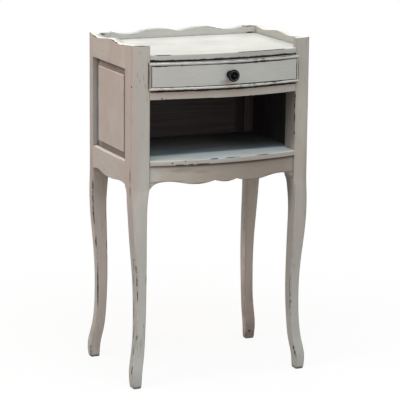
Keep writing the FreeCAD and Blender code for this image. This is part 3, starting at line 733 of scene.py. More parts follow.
@dataclass(frozen=True)
class ScrewSteel:
    """Plain steel of the screw, turned and a little rusty.

    Attributes:
        bright: the steel.
        rust: where it has gone brown.
        roughness: least and most of the steel.
        relief: depth of the tool's marks.
    """

    bright: Colour = (0.45, 0.45, 0.44)
    rust: Colour = (0.16, 0.08, 0.04)
    roughness: Span = (0.28, 0.5)
    relief: float = 0.00005

    def material(self, name: str) -> Material:
        """Makes the steel.

        Args:
            name: the material's name.

        Returns:
            The material.
        """
        graph = FinishGraph(name)
        brush = graph.group("brush", squeeze=Grain.ALONG_Z.value)
        rust = graph.ease(graph.noise(graph.place, scale=300.0, detail=4.0, roughness=0.6), *RUST)
        graph.set(Base_Color=graph.blend(rust, self.bright, self.rust),
                  Metallic=graph.math("SUBTRACT", 1.0, rust),
                  Roughness=graph.ease(brush["Streak"], *MOST_NOISE, *self.roughness))
        graph.bump(brush["Streak"], self.relief)
        return graph.material


# Pieces cut from the frame's nodes

WELD = 2e-6
FLAT_ANGLE = math.radians(0.4)
SHARP_ANGLE = math.radians(28.0)
SMOOTH_ANGLE = math.radians(50.0)
ROUND_TILT = (0.2, 0.985)
FACING = 0.9
UPWARD = 0.5
NEAR = 0.0006
EdgeTest = Callable[[Vector], bool]
FaceTest = Callable[[Vector, Vector], bool]


def every_edge(middle: Vector) -> bool:
    """Takes all sharp edges."""
    return True


def no_edge(middle: Vector) -> bool:
    """Takes none: the piece has its rounds already."""
    return False


def as_it_is(place: Vector) -> Vector:
    """Leaves a point where it is."""
    return place


def soft_edged(node: str, arris: float, takes: EdgeTest = every_edge,
               fit: Callable[[Vector], Vector] = as_it_is) -> BMesh:
    """Copies a node's mesh, welds it and eases its sharp edges.

    Args:
        node: the node to copy.
        arris: width of the eased edge.
        takes: which edges are eased, by their middle.
        fit: where each point of the copy goes before its edges are eased.

    Returns:
        The copy, as a mesh to go on working on.
    """
    bm = bmesh.new()
    bm.from_mesh(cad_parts[node].data)
    bmesh.ops.remove_doubles(bm, verts=bm.verts, dist=WELD)
    for vert in bm.verts:
        vert.co = fit(vert.co)
    bmesh.ops.dissolve_limit(bm, angle_limit=FLAT_ANGLE, verts=bm.verts, edges=bm.edges)
    edges = [edge for edge in bm.edges if edge.is_convex and edge.calc_face_angle() > SHARP_ANGLE
             and takes((edge.verts[0].co + edge.verts[1].co) / 2)]
    layer = bm.loops.layers.float.new(ARRIS_LAYER)
    rounds = []
    if takes is no_edge:
        rounds = [face for face in bm.faces if ROUND_TILT[0] < abs(face.normal.z) < ROUND_TILT[1]]
    if edges:
        eased = bmesh.ops.bevel(bm, geom=edges, offset=arris, offset_type="OFFSET", segments=2, profile=0.5,
                                affect="EDGES", material=-1, clamp_overlap=False, loop_slide=True)
        rounds = eased["faces"]
    for face in rounds:
        for loop in face.loops:
            loop[layer] = 1.0
    low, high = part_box(node)
    for vert in bm.verts:
        vert.co = [min(max(at, least), most) for at, least, most in zip(vert.co, low, high)]
    bm.normal_update()
    return bm


def finish_piece(bm: BMesh, node: str, *materials: Material, body: Body = Body.CARCASS,
                 slot: Slot = Slot.PAINT, work: str = "shaped") -> Object:
    """Turns a worked mesh into the piece that stands for a node.

    Args:
        bm: the mesh, which is used up.
        node: the node that the piece stands for.
        materials: its finishes, in the order of its faces' numbers.
        body: what it rides on.
        slot: the record's slot of its finish; not used.
        work: what was done to it, which ends its name.

    Returns:
        The piece.
    """
    name = f"{node}_{work}"
    for face in bm.faces:
        face.smooth = True
    for edge in bm.edges:
        edge.smooth = not edge.is_manifold or edge.calc_face_angle() < SMOOTH_ANGLE
    mesh = bpy.data.meshes.new(name)
    bm.to_mesh(mesh)
    bm.free()
    piece = bpy.data.objects.new(name, mesh)
    bpy.context.scene.collection.objects.link(piece)
    for material in materials:
        mesh.materials.append(material)
    normals = piece.modifiers.new("even_faces", "WEIGHTED_NORMAL")
    normals.keep_sharp = True
    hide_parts(node)
    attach(piece, body.value)
    log.info("%s on %s: %d faces", name, body.value, len(mesh.polygons))
    return piece


def dress_faces(bm: BMesh, number: int, takes: FaceTest) -> None:
    """Gives some faces another finish.

    Args:
        bm: the mesh to mark.
        number: which finish the faces get.
        takes: which faces, by their middle and normal.
    """
    for face in bm.faces:
        if takes(face.calc_center_median(), face.normal):
            face.material_index = number


@dataclass(frozen=True)
class Niche:
    """The open niche, whose inside is stained dark.

    Attributes:
        half_width: to just behind the side panels' inner faces.
        front: just behind the front posts.
        back: just behind the back panel's face.
        low: the shelf's top.
        high: just over the top board's underside.
    """

    half_width: float = 0.178
    front: float = -0.0626
    back: float = 0.132
    low: float = 0.4828
    high: float = 0.69

    def stain(self, bm: BMesh, number: int = 1) -> None:
        """Gives the faces inside the niche another finish, cutting faces at its planes first.

        Args:
            bm: the mesh to mark.
            number: which finish the faces get.
        """
        low = (-self.half_width, self.front, self.low)
        high = (self.half_width, self.back, self.high)
        for corner in (low, high):
            for axis in range(3):
                normal = Vector([float(axis == i) for i in range(3)])
                geometry = [*bm.verts, *bm.edges, *bm.faces]
                bmesh.ops.bisect_plane(bm, geom=geometry, dist=WELD, plane_co=corner, plane_no=normal)
        for face in bm.faces:
            middle = face.calc_center_median()
            if all(low[i] < middle[i] < high[i] for i in range(3)):
                face.material_index = number


SPECKED = 0.006
FRONT_LEG_COAT = ChalkPaint(tone=(0.42, 0.407, 0.37), warm_tone=(0.415, 0.385, 0.342),
                            rubbed_tone=(0.20, 0.19, 0.165), floor_light_tone=(0.44, 0.463, 0.442),
                            scratches=0.4, corner_wax_and_shade=0.3, seam_soot_and_shade=0.4)
BACK_LEG_COAT = ChalkPaint(tone=(0.47, 0.45, 0.41), warm_tone=(0.455, 0.415, 0.37),
                           rubbed_tone=(0.20, 0.175, 0.155), floor_light_tone=(0.47, 0.43, 0.39))
# A paler coat on faces that look up: painted light from above.
LIT_TOP_COAT = ChalkPaint(tone=(0.64, 0.63, 0.605), warm_tone=(0.62, 0.60, 0.565), wear=-0.1)
SIDE_COAT = ChalkPaint(tone=(0.49, 0.478, 0.445), warm_tone=(0.475, 0.435, 0.392))
# A darker coat in the panel's recess: dark wax and painted shade.
RECESS_WAX_AND_SHADE_COAT = ChalkPaint(tone=(0.33, 0.315, 0.29), warm_tone=(0.30, 0.265, 0.23), corner_wax_and_shade=0.85)
# A darker, cooler coat on the back posts' faces beside the panel: painted shade.
SHADED_REVEAL_COAT = ChalkPaint(tone=(0.33, 0.342, 0.342), warm_tone=(0.31, 0.305, 0.293), corner_wax_and_shade=0.8)
# A near-white coat on the lower rails' tops: a painted highlight, with rubbed paint.
LIT_SILL_COAT = ChalkPaint(tone=(0.88, 0.86, 0.82), warm_tone=(0.85, 0.81, 0.76), corner_wax_and_shade=0.0)
# A darker coat on the field's top, under the rail: painted shade.
SHADED_LEDGE_COAT = ChalkPaint(tone=(0.44, 0.42, 0.39), warm_tone=(0.41, 0.375, 0.335), corner_wax_and_shade=0.4)
# A near-white coat on the field's upper rim: a painted highlight.
RIM_HIGHLIGHT_COAT = ChalkPaint(tone=(0.95, 0.93, 0.89), warm_tone=(0.92, 0.88, 0.82), corner_wax_and_shade=0.0)
BACK_COAT = ChalkPaint(tone=(0.432, 0.438, 0.413), warm_tone=(0.422, 0.417, 0.382), specks=SPECKED)
APRON_COAT = ChalkPaint(tone=(0.435, 0.405, 0.355), warm_tone=(0.405, 0.36, 0.305),
                        rubbed_tone=(0.13, 0.11, 0.09), wear=0.06, corner_wax_and_shade=0.2, seam_soot_and_shade=0.2,
                        specks=SPECKED)
RAIL_COAT = ChalkPaint(tone=(0.445, 0.42, 0.38), warm_tone=(0.415, 0.375, 0.33), specks=SPECKED)
NOSE_COAT = ChalkPaint(tone=(0.45, 0.472, 0.462), warm_tone=(0.445, 0.447, 0.428),
                       rubbed_tone=(0.44, 0.44, 0.42), wear=-0.08)
NOSE_EDGE = ChalkPaint(tone=(0.40, 0.375, 0.352), warm_tone=(0.388, 0.355, 0.327),
                       rubbed_tone=(0.42, 0.395, 0.367), wear=-0.04)
BOARD_COAT = ChalkPaint(tone=(0.43, 0.43, 0.40), warm_tone=(0.42, 0.41, 0.37), specks=SPECKED)
BOARD_EDGE = ChalkPaint(tone=(0.43, 0.425, 0.40), warm_tone=(0.41, 0.395, 0.365), specks=SPECKED)
DRAWER_COAT = ChalkPaint(tone=(0.475, 0.48, 0.455), warm_tone=(0.465, 0.46, 0.43), scratches=0.15)
STAIN = StainedBoard()
# Near-black for the faces that line the gaps over and under the drawer front: painted shade.
GAP_SHADE = StainedBoard(dark=(0.004, 0.0035, 0.003), light=(0.008, 0.007, 0.006))
SHELF_STAIN = StainedBoard(dark=(0.165, 0.178, 0.187), light=(0.245, 0.262, 0.277),
                           spray_run=(-0.064, -0.044), back_shade_run=(0.01, 0.13))
PINE = RawSoftwood()
NICHE = Niche()
COOL_PALE = (0.415, 0.438, 0.412)
FAINT = (0.24, 0.215, 0.185)


def kept_whole(x: float, y: float, z: float, up: float, out: float = 0.02, along: float = 0.006) -> RubSpot:
    """Keeps the paint whole on the joint of a post and a rail, to some way above and below a point."""
    return RubSpot((x, y, z), (out, along, up), strength=-1.0)


def dirty_sole(x: float, y: float, round_foot: float = 0.06, up: float = 0.007) -> Tint:
    """Dirties the bottom of a foot."""
    return Tint((x, y, 0.0), (round_foot, round_foot, up), SOOT_AND_SHADOW_BLACK, strength=0.7)


MARKS: dict[str, tuple[Mark, ...]] = {
    "left_front_leg": (
        # Painted light: the lower leg made paler, as if lit from the floor.
        Tint((-0.182, -0.105, 0.25), (0.06, 0.05, 0.24), (0.50, 0.50, 0.465), 0.9),
        Tint((-0.1925, -0.083, 0.19), (0.010, 0.022, 0.30), (0.385, 0.415, 0.41), 0.85),
        Tint((-0.2005, -0.08, 0.57), (0.004, 0.04, 0.5), (0.475, 0.435, 0.40), 0.9),
        Tint((-0.197, -0.083, 0.35), (0.009, 0.03, 0.09), (0.41, 0.40, 0.385), 0.8),
        Tint((-0.175, -0.106, 0.62), (0.05, 0.009, 0.36), (0.397, 0.384, 0.352), 0.95),
        Tint((-0.175, -0.106, 0.45), (0.05, 0.009, 0.07), (0.44, 0.437, 0.41), 0.6),
        Tint((-0.2, -0.0985, 0.58), (0.034, 0.0095, 0.5), (0.405, 0.376, 0.345), 0.9),
        dirty_sole(-0.18, -0.10),
        Tint((-0.1885, -0.1016, 0.660), (0.0016, 0.01, 0.009), FAINT, 0.7),
        Tint((-0.1845, -0.1028, 0.648), (0.0013, 0.01, 0.008), FAINT, 0.6),
        Tint((-0.1765, -0.1048, 0.655), (0.0016, 0.01, 0.010), FAINT, 0.7),
        Tint((-0.1735, -0.1056, 0.638), (0.0014, 0.01, 0.008), FAINT, 0.7),
        Tint((-0.1905, -0.1010, 0.636), (0.0012, 0.01, 0.006), FAINT, 0.5),
        Tint((-0.1700, -0.1060, 0.610), (0.0014, 0.01, 0.012), FAINT, 0.5),
        Tint((-0.1660, -0.1066, 0.650), (0.0045, 0.01, 0.030), FAINT, 0.6),
        kept_whole(-0.2, -0.0625, 0.57, 0.45),
        RubSpot((-0.2, -0.0985, 0.60), (0.01, 0.01, 0.36), -0.2),
        RubSpot((-0.164, -0.1066, 0.452), (0.006, 0.01, 0.08), -1.0),
        ScarAndShadowLine((-0.2, -0.0966, 0.6363), (0.002, 0.0022, 0.0022)),
        ScarAndShadowLine((-0.2, -0.0899, 0.450), (0.002, 0.0021, 0.016)),
        ScarAndShadowLine((-0.2, -0.0899, 0.418), (0.002, 0.0019, 0.012)),
        ScarAndShadowLine((-0.1924, -0.0945, 0.2751), (0.002, 0.0024, 0.0024)),
        ScarAndShadowLine((-0.1907, -0.1008, 0.2520), (0.0011, 0.0018, 0.018)),
        ScarAndShadowLine((-0.1888, -0.0998, 0.2260), (0.0010, 0.0017, 0.016)),
        ScarAndShadowLine((-0.1862, -0.0991, 0.1980), (0.0009, 0.0016, 0.014)),
        ScarAndShadowLine((-0.1835, -0.1032, 0.7195), (0.014, 0.003, 0.0012)),
        ScarAndShadowLine((-0.1915, -0.0890, 0.2620), (0.002, 0.0014, 0.014)),
        ScarAndShadowLine((-0.1889, -0.0828, 0.2294), (0.002, 0.0014, 0.016)),
        ScarAndShadowLine((-0.1872, -0.0804, 0.1640), (0.002, 0.0017, 0.020)),
        ScarAndShadowLine((-0.1884, -0.0838, 0.1180), (0.002, 0.0016, 0.016)),
        ScarAndShadowLine((-0.1918, -0.0923, 0.0814), (0.003, 0.0016, 0.012)),
        ScarAndShadowLine((-0.1988, -0.0995, 0.0400), (0.003, 0.0026, 0.013)),
        RubSpot((-0.182, -0.103, 0.72), (0.02, 0.012, 0.006)),
    ),
    "right_front_leg": (
        # Painted shade on the post's inner face inside the niche.
        Tint((0.164, -0.08, 0.555), (0.0022, 0.06, 0.16), (0.16, 0.15, 0.135), 0.7),
        kept_whole(0.2, -0.0625, 0.57, 0.45),
        RubSpot((0.164, -0.1066, 0.452), (0.006, 0.01, 0.08), -1.0),
        ScarAndShadowLine((0.1661, -0.0955, 0.185), (0.0008, 0.0011, 0.030)),
        ScarAndShadowLine((0.1664, -0.0960, 0.140), (0.0008, 0.0011, 0.012)),
        Tint((0.183, -0.10, 0.56), (0.022, 0.02, 0.10), (0.50, 0.485, 0.43), 0.6),
        Tint((0.174, -0.106, 0.452), (0.030, 0.03, 0.07), (0.475, 0.42, 0.365), 0.75),
        Tint((0.164, -0.10, 0.71), (0.004, 0.03, 0.03), (0.34, 0.34, 0.31), 0.95),
        Tint((0.182, -0.10, 0.22), (0.03, 0.05, 0.30), (0.43, 0.41, 0.38), 0.5),
        Tint((0.165, -0.09, 0.25), (0.006, 0.05, 0.24), (0.36, 0.355, 0.335), 0.8),
        Tint((0.201, -0.09, 0.38), (0.02, 0.03, 0.16), (0.30, 0.285, 0.26), 0.6),
        # Painted shadow of the apron on the leg's inner curve.
        Tint((0.1655, -0.074, 0.385), (0.006, 0.034, 0.065), (0.17, 0.145, 0.12), 0.85),
        dirty_sole(0.18, -0.10),
        ScarAndShadowLine((0.1650, -0.1068, 0.598), (0.0016, 0.0018, 0.004)),
        ScarAndShadowLine((0.1642, -0.1066, 0.578), (0.0016, 0.0018, 0.007)),
        ScarAndShadowLine((0.1642, -0.1066, 0.551), (0.0014, 0.0016, 0.009)),
        ScarAndShadowLine((0.1642, -0.1066, 0.520), (0.0016, 0.0018, 0.004)),
        ScarAndShadowLine((0.1752, -0.1022, 0.0470), (0.0016, 0.003, 0.006)),
        ScarAndShadowLine((0.1770, -0.1047, 0.0370), (0.0016, 0.003, 0.005)),
    ),
    "left_back_leg": (
        ScarAndShadowLine((-0.1862, 0.1309, 0.165), (0.0016, 0.0016, 0.055)),
        ScarAndShadowLine((-0.1900, 0.1312, 0.266), (0.0010, 0.0012, 0.010)),
        ScarAndShadowLine((-0.1963, 0.1328, 0.325), (0.0012, 0.0010, 0.020)),
        ScarAndShadowLine((-0.2, 0.134, 0.7182), (0.0016, 0.007, 0.0016)),
        # Painted shadow of the case on the upper leg.
        Tint((-0.19, 0.13, 0.41), (0.06, 0.06, 0.09), (0.37, 0.34, 0.30), 0.6),
        # Painted light: the lower leg made paler, as if lit from the floor.
        Tint((-0.185, 0.13, 0.24), (0.06, 0.06, 0.15), (0.52, 0.485, 0.45), 0.7),
        Tint((-0.1905, 0.145, 0.17), (0.006, 0.018, 0.24), (0.49, 0.53, 0.515), 0.85),
        Tint((-0.1990, 0.141, 0.36), (0.004, 0.02, 0.06), (0.50, 0.455, 0.44), 0.8),
        Tint((-0.1994, 0.148, 0.025), (0.005, 0.02, 0.05), (0.50, 0.52, 0.51), 0.85),
        kept_whole(-0.2, 0.122, 0.57, 0.45),
        dirty_sole(-0.18, 0.14),
        # Painted shade in the gallery's back corner, darkest in the corner itself.
        Tint((-0.160, 0.1275, 0.708), (0.05, 0.006, 0.04), (0.385, 0.39, 0.37), 0.95),
        Tint((-0.176, 0.1290, 0.7135), (0.010, 0.004, 0.006), (0.10, 0.095, 0.085), 0.85),
    ),
    "right_back_leg": (
        # Painted light: the leg's inner face made much paler, as lit from the left.
        Tint((0.1600, 0.14, 0.24), (0.0085, 0.03, 0.30), (0.80, 0.75, 0.70), 0.95),
        Tint((0.1630, 0.143, 0.36), (0.006, 0.03, 0.12), (0.70, 0.66, 0.61), 0.9),
        Tint((0.1670, 0.142, 0.085), (0.006, 0.03, 0.05), (0.62, 0.58, 0.54), 0.7),
        Tint((0.1690, 0.131, 0.24), (0.003, 0.01, 0.30), (0.36, 0.345, 0.31), 0.7),
        Tint((0.185, 0.14, 0.08), (0.03, 0.04, 0.11), (0.36, 0.30, 0.265), 0.65),
        Tint((0.18, 0.14, 0.012), (0.06, 0.06, 0.04), (0.24, 0.20, 0.17), 0.7),
        Tint((0.18, 0.14, 0.008), (0.06, 0.06, 0.016), (0.14, 0.115, 0.10), 0.6),
        Tint((0.1740, 0.150, 0.032), (0.006, 0.02, 0.04), (0.55, 0.51, 0.48), 0.75),
        ScarAndShadowLine((0.1850, 0.1419, 0.0180), (0.0030, 0.004, 0.0028)),
        kept_whole(0.2, 0.122, 0.57, 0.45),
        ScarAndShadowLine((0.170, 0.1275, 0.7166), (0.014, 0.004, 0.0017)),
        ScarAndShadowLine((0.170, 0.1275, 0.702), (0.009, 0.002, 0.0016)),
        Tint((0.168, 0.1275, 0.710), (0.03, 0.006, 0.02), (0.405, 0.40, 0.378), 0.7),
    ),
    "left_top_rail": (
        ScarAndShadowLine((-0.2, 0.108, 0.7132), (0.0016, 0.013, 0.0022)),
        # Painted shade on the inner half of the gallery rail's top.
        Tint((-0.186, 0.002, 0.717), (0.0095, 0.045, 0.008), (0.30, 0.30, 0.285), 0.9),
        Tint((-0.187, 0.110, 0.715), (0.009, 0.030, 0.008), (0.25, 0.245, 0.23), 0.85),
        ScarAndShadowLine((-0.2, 0.003, 0.7181), (0.0018, 0.016, 0.0019)),
        ScarAndShadowLine((-0.2, -0.014, 0.7160), (0.0018, 0.009, 0.0020)),
        ScarAndShadowLine((-0.2, -0.046, 0.7152), (0.0014, 0.010, 0.0012)),
        kept_whole(-0.2, -0.0625, 0.7, 0.1),
        kept_whole(-0.2, 0.122, 0.7, 0.1),
    ),
    "left_bottom_rail": (
        kept_whole(-0.2, -0.0625, 0.45, 0.12),
        kept_whole(-0.2, 0.122, 0.45, 0.12),
    ),
    "right_top_rail": (Tint((0.183, 0.03, 0.71), (0.006, 0.3, 0.03), COOL_PALE, 0.9),),
    "left_side_panel": (
        # Painted shadow under the top rail and in the back corner, and painted shade over the bottom rail.
        Tint((-0.1875, 0.03, 0.668), (0.006, 0.3, 0.015), (0.07, 0.06, 0.05), 0.75),
        Tint((-0.19, 0.119, 0.664), (0.012, 0.012, 0.012), SOOT_AND_SHADOW_BLACK, 0.95),
        Tint((-0.188, 0.03, 0.488), (0.004, 0.3, 0.016), (0.14, 0.12, 0.10), 0.7),
        Tint((-0.1877, 0.112, 0.565), (0.003, 0.02, 0.13), (0.44, 0.44, 0.44), 0.6),
    ),
    "back_top_rail": (
        # Painted shade at the gallery's left end, by the corner.
        Tint((-0.13, 0.1275, 0.71), (0.12, 0.03, 0.06), (0.395, 0.40, 0.38), 0.85),
        Tint((0.168, 0.1275, 0.710), (0.03, 0.006, 0.02), (0.405, 0.40, 0.378), 0.7),
        ScarAndShadowLine((0.158, 0.1275, 0.7172), (0.012, 0.004, 0.0016)),
    ),
    "top_board": (
        # A painted shadow line along the gap over the drawer.
        ScarAndShadowLine((0.0, -0.125, 0.6866), (0.30, 0.2, 0.0040)),
        RubSpot((0.08, -0.12, 0.7005), (0.07, 0.03, 0.004), 0.4),
        RubSpot((-0.135, -0.112, 0.7005), (0.02, 0.02, 0.004)),
        Tint((0.0, 0.115, 0.7005), (0.3, 0.08, 0.01), (0.57, 0.57, 0.535), 0.85),
        Tint((0.15, 0.0, 0.7005), (0.1, 0.2, 0.01), (0.475, 0.475, 0.435), 0.7),
        Tint((-0.16, -0.06, 0.7005), (0.1, 0.12, 0.01), (0.41, 0.41, 0.38), 0.7),
    ),
    "middle_rail": (
        Tint((-0.14, -0.115, 0.617), (0.12, 0.05, 0.2), (0.42, 0.388, 0.343), 0.8),
        Tint((0.14, -0.115, 0.617), (0.12, 0.05, 0.2), (0.475, 0.465, 0.425), 0.8),
        # A painted shadow line along the gap under the drawer.
        ScarAndShadowLine((0.0, -0.12, 0.6268), (0.30, 0.2, 0.0030)),
        ScarAndShadowLine((-0.1401, -0.1136, 0.6108), (0.0016, 0.003, 0.0016)),
        RubSpot((-0.08, -0.12, 0.6085), (0.08, 0.03, 0.004)),
    ),
    "front_apron": (
        # Darker and warmer to the right: painted shade where the bow turns from the light, and dirt.
        Tint((0.20, -0.11, 0.45), (0.36, 0.2, 0.2), (0.272, 0.232, 0.198), 0.85),
        Tint((-0.16, -0.108, 0.452), (0.026, 0.03, 0.024), (0.475, 0.475, 0.445), 0.7),
        Tint((0.16, -0.105, 0.455), (0.026, 0.03, 0.04), (0.36, 0.32, 0.285), 0.5),
        Tint((-0.095, -0.118, 0.4605), (0.034, 0.03, 0.006), (0.27, 0.255, 0.215), 0.6),
        Tint((-0.055, -0.12, 0.456), (0.026, 0.03, 0.005), (0.26, 0.235, 0.195), 0.55),
        # Painted shadow under the shelf's nosing.
        Tint((0.05, -0.12, 0.4725), (0.4, 0.2, 0.0075), (0.05, 0.040, 0.033), 0.85),
        Tint((0.0, -0.12, 0.4305), (0.16, 0.2, 0.0046), (0.14, 0.115, 0.095), 0.7),
        Tint((-0.13, -0.11, 0.437), (0.05, 0.05, 0.0040), (0.14, 0.115, 0.095), 0.7),
        Tint((0.13, -0.11, 0.437), (0.05, 0.05, 0.0040), (0.12, 0.10, 0.085), 0.7),
        ScarAndShadowLine((-0.055, -0.123, 0.4312), (0.010, 0.006, 0.0013)),
        ScarAndShadowLine((0.004, -0.125, 0.4325), (0.007, 0.006, 0.0012)),
    ),
    "shelf_nosing": (
        # Painted light: the back of the nosing's top made paler where the niche shades it.
        Tint((0.0, -0.066, 0.483), (0.3, 0.035, 0.01), (0.56, 0.60, 0.60), 0.75),
        Tint((-0.125, -0.093, 0.483), (0.075, 0.045, 0.008), (0.515, 0.515, 0.475), 0.75),
        Tint((0.0, -0.11, 0.483), (0.07, 0.04, 0.008), (0.45, 0.51, 0.525), 0.75),
        ScarAndShadowLine((-0.1194, -0.1200, 0.4774), (0.0019, 0.003, 0.0019)),
        ScarAndShadowLine((-0.0915, -0.1243, 0.4810), (0.0012, 0.003, 0.0012)),
        # A dark line along the nosing's lower edge: worn paint, and a painted shadow line.
        ScarAndShadowLine((-0.103, -0.1228, 0.4730), (0.012, 0.004, 0.0014)),
        ScarAndShadowLine((-0.079, -0.1258, 0.4732), (0.006, 0.004, 0.0015)),
        ScarAndShadowLine((-0.056, -0.1280, 0.4732), (0.014, 0.004, 0.0013)),
        ScarAndShadowLine((-0.030, -0.1296, 0.4823), (0.011, 0.003, 0.0009)),
        ScarAndShadowLine((0.012, -0.1300, 0.4825), (0.022, 0.003, 0.0007)),
        ScarAndShadowLine((0.085, -0.1250, 0.4825), (0.020, 0.003, 0.0007)),
    ),
    "drawer_front": (
        # Painted shadow lines in the grooves by the top and bottom beads, and at both ends of the front.
        ScarAndShadowLine((-0.146, -0.12, 0.6795), (0.026, 0.2, 0.0027)),
        ScarAndShadowLine((0.060, -0.13, 0.6790), (0.10, 0.2, 0.0021)),
        ScarAndShadowLine((0.065, -0.13, 0.6350), (0.11, 0.2, 0.0018)),
        ScarAndShadowLine((0.1634, -0.113, 0.658), (0.0021, 0.03, 0.028)),
        ScarAndShadowLine((-0.1685, -0.108, 0.657), (0.0012, 0.010, 0.035)),
        Tint((-0.15, -0.117, 0.657), (0.11, 0.05, 0.2), (0.432, 0.432, 0.407), 0.85),
        # Painted shadow of the knob.
        Tint((-0.010, -0.134, 0.6415), (0.016, 0.02, 0.006), (0.22, 0.20, 0.18), 0.55),
    ),
    # Painted shade on the shelf near the niche's right wall.
    "shelf_board": (Tint((0.15, 0.06, 0.483), (0.15, 0.15, 0.05), PAINTED_SHADE_DARK, 0.75),),
    # Painted shade in the corner beside the right back post.
    "back_panel": (Tint((0.148, 0.13, 0.56), (0.016, 0.03, 0.3), (0.002, 0.002, 0.003), 0.95),),
    # Painted shadow lines along the gaps at the beads' edges, and painted shade on the left bead.
    "drawer_bead_top": (ScarAndShadowLine((0.03, -0.12, 0.6866), (0.26, 0.2, 0.0020)),),
    "drawer_bead_bottom": (
        ScarAndShadowLine((-0.07, -0.125, 0.6276), (0.13, 0.2, 0.0026)),
        ScarAndShadowLine((0.12, -0.115, 0.6276), (0.08, 0.2, 0.0030)),
    ),
    "drawer_bead_right": (ScarAndShadowLine((0.1673, -0.1150, 0.658), (0.0018, 0.02, 0.03)),),
    "drawer_bead_left": (Tint((-0.166, -0.115, 0.657), (0.02, 0.03, 0.06), (0.25, 0.23, 0.20), 0.9),),
}


def paint(node: str, grain: Grain, coat: ChalkPaint, part: str = "paint") -> Material:
    """Makes the paint of one piece, or of a part of it, with the piece's marks."""
    return coat.material(f"{node}_{part}", grain, MARKS.get(node, ()))


@dataclass
class Legs:
    """Four posts with cabriole legs.

    Attributes:
        arris: width of the eased edges.
        reveal_face: where the back posts' front faces lie.
        front_joint: where the front posts' back faces lie.
        joint_low: height above which rails and panels meet the posts.
        rail_end: how far out the back rails go, and a little more.
        outside: how far out the posts' side faces stand.
        corner: width of the posts' own eased corners.
        inner_corner: how far out the front posts' inner corners stand, where they start and, filled, end.
        gallery_top: height above which a face that looks up is a post's top.
    """

    arris: float = 0.0009
    reveal_face: float = 0.122
    front_joint: float = -0.0625
    joint_low: float = 0.42
    rail_end: float = 0.157
    outside: float = 0.2
    corner: float = 0.0016
    inner_corner: tuple[float, float, float] = (0.164, -0.1067, -0.1082)
    gallery_top: float = 0.7

    def is_free(self, middle: Vector) -> bool:
        """Whether an edge is an open arris and not the line where a rail or panel meets the post.

        Args:
            middle: the edge's middle.

        Returns:
            Whether it is eased.
        """
        beside = min(abs(middle.y - self.front_joint), abs(middle.y - self.reveal_face)) < NEAR
        inner = middle.y > self.reveal_face and abs(middle.x) < self.rail_end
        return middle.z < self.joint_low or not (beside or inner)

    def close_joint(self, place: Vector) -> Vector:
        """Brings an eased corner out to the rail that meets it, as paint fills the joint.

        Args:
            place: a point of the post.

        Returns:
            Where the point goes.
        """
        if place.z <= self.joint_low:
            return place
        if abs(place.x) > self.outside - NEAR:
            if abs(place.y - self.front_joint + self.corner) < NEAR:
                return Vector((place.x, self.front_joint, place.z))
            if abs(place.y - self.reveal_face - self.corner) < NEAR:
                return Vector((place.x, self.reveal_face, place.z))
        across, start, end = self.inner_corner
        if abs(abs(place.x) - across) < NEAR and abs(place.y - start) < NEAR:
            return Vector((place.x, end, place.z))
        return place

    def on_top(self, middle: Vector, normal: Vector) -> bool:
        """Whether a face is the top of a post."""
        return normal.z > UPWARD and middle.z > self.gallery_top

    def on_reveal(self, middle: Vector, normal: Vector) -> bool:
        """Whether a face is a back post's front face, beside the panel."""
        return normal.y < -FACING and abs(middle.y - self.reveal_face) < NEAR

    def build(self) -> list[Object]:
        """Makes the four legs, the back ones stained inside the niche.

        Returns:
            The pieces.
        """
        pieces = []
        for end, coat in (("front", FRONT_LEG_COAT), ("back", BACK_LEG_COAT)):
            for side in SIDES:
                node = f"{side}_{end}_leg"
                bm = soft_edged(node, self.arris, self.is_free, self.close_joint)
                # The post's top gets the paler coat: painted light.
                dress_faces(bm, 1, self.on_top)
                finishes = [paint(node, Grain.ALONG_Z, coat), paint(node, Grain.ALONG_Y, LIT_TOP_COAT, "top")]
                if end == "back":
                    # The back post's face beside the panel gets the darker coat: painted shade.
                    dress_faces(bm, 2, self.on_reveal)
                    NICHE.stain(bm, 3)
                    finishes.append(paint(node, Grain.ALONG_Z, SHADED_REVEAL_COAT, "reveal"))
                    finishes.append(STAIN.material(node + "_stain", Grain.ALONG_Z))
                pieces.append(finish_piece(bm, node, *finishes))
        return pieces


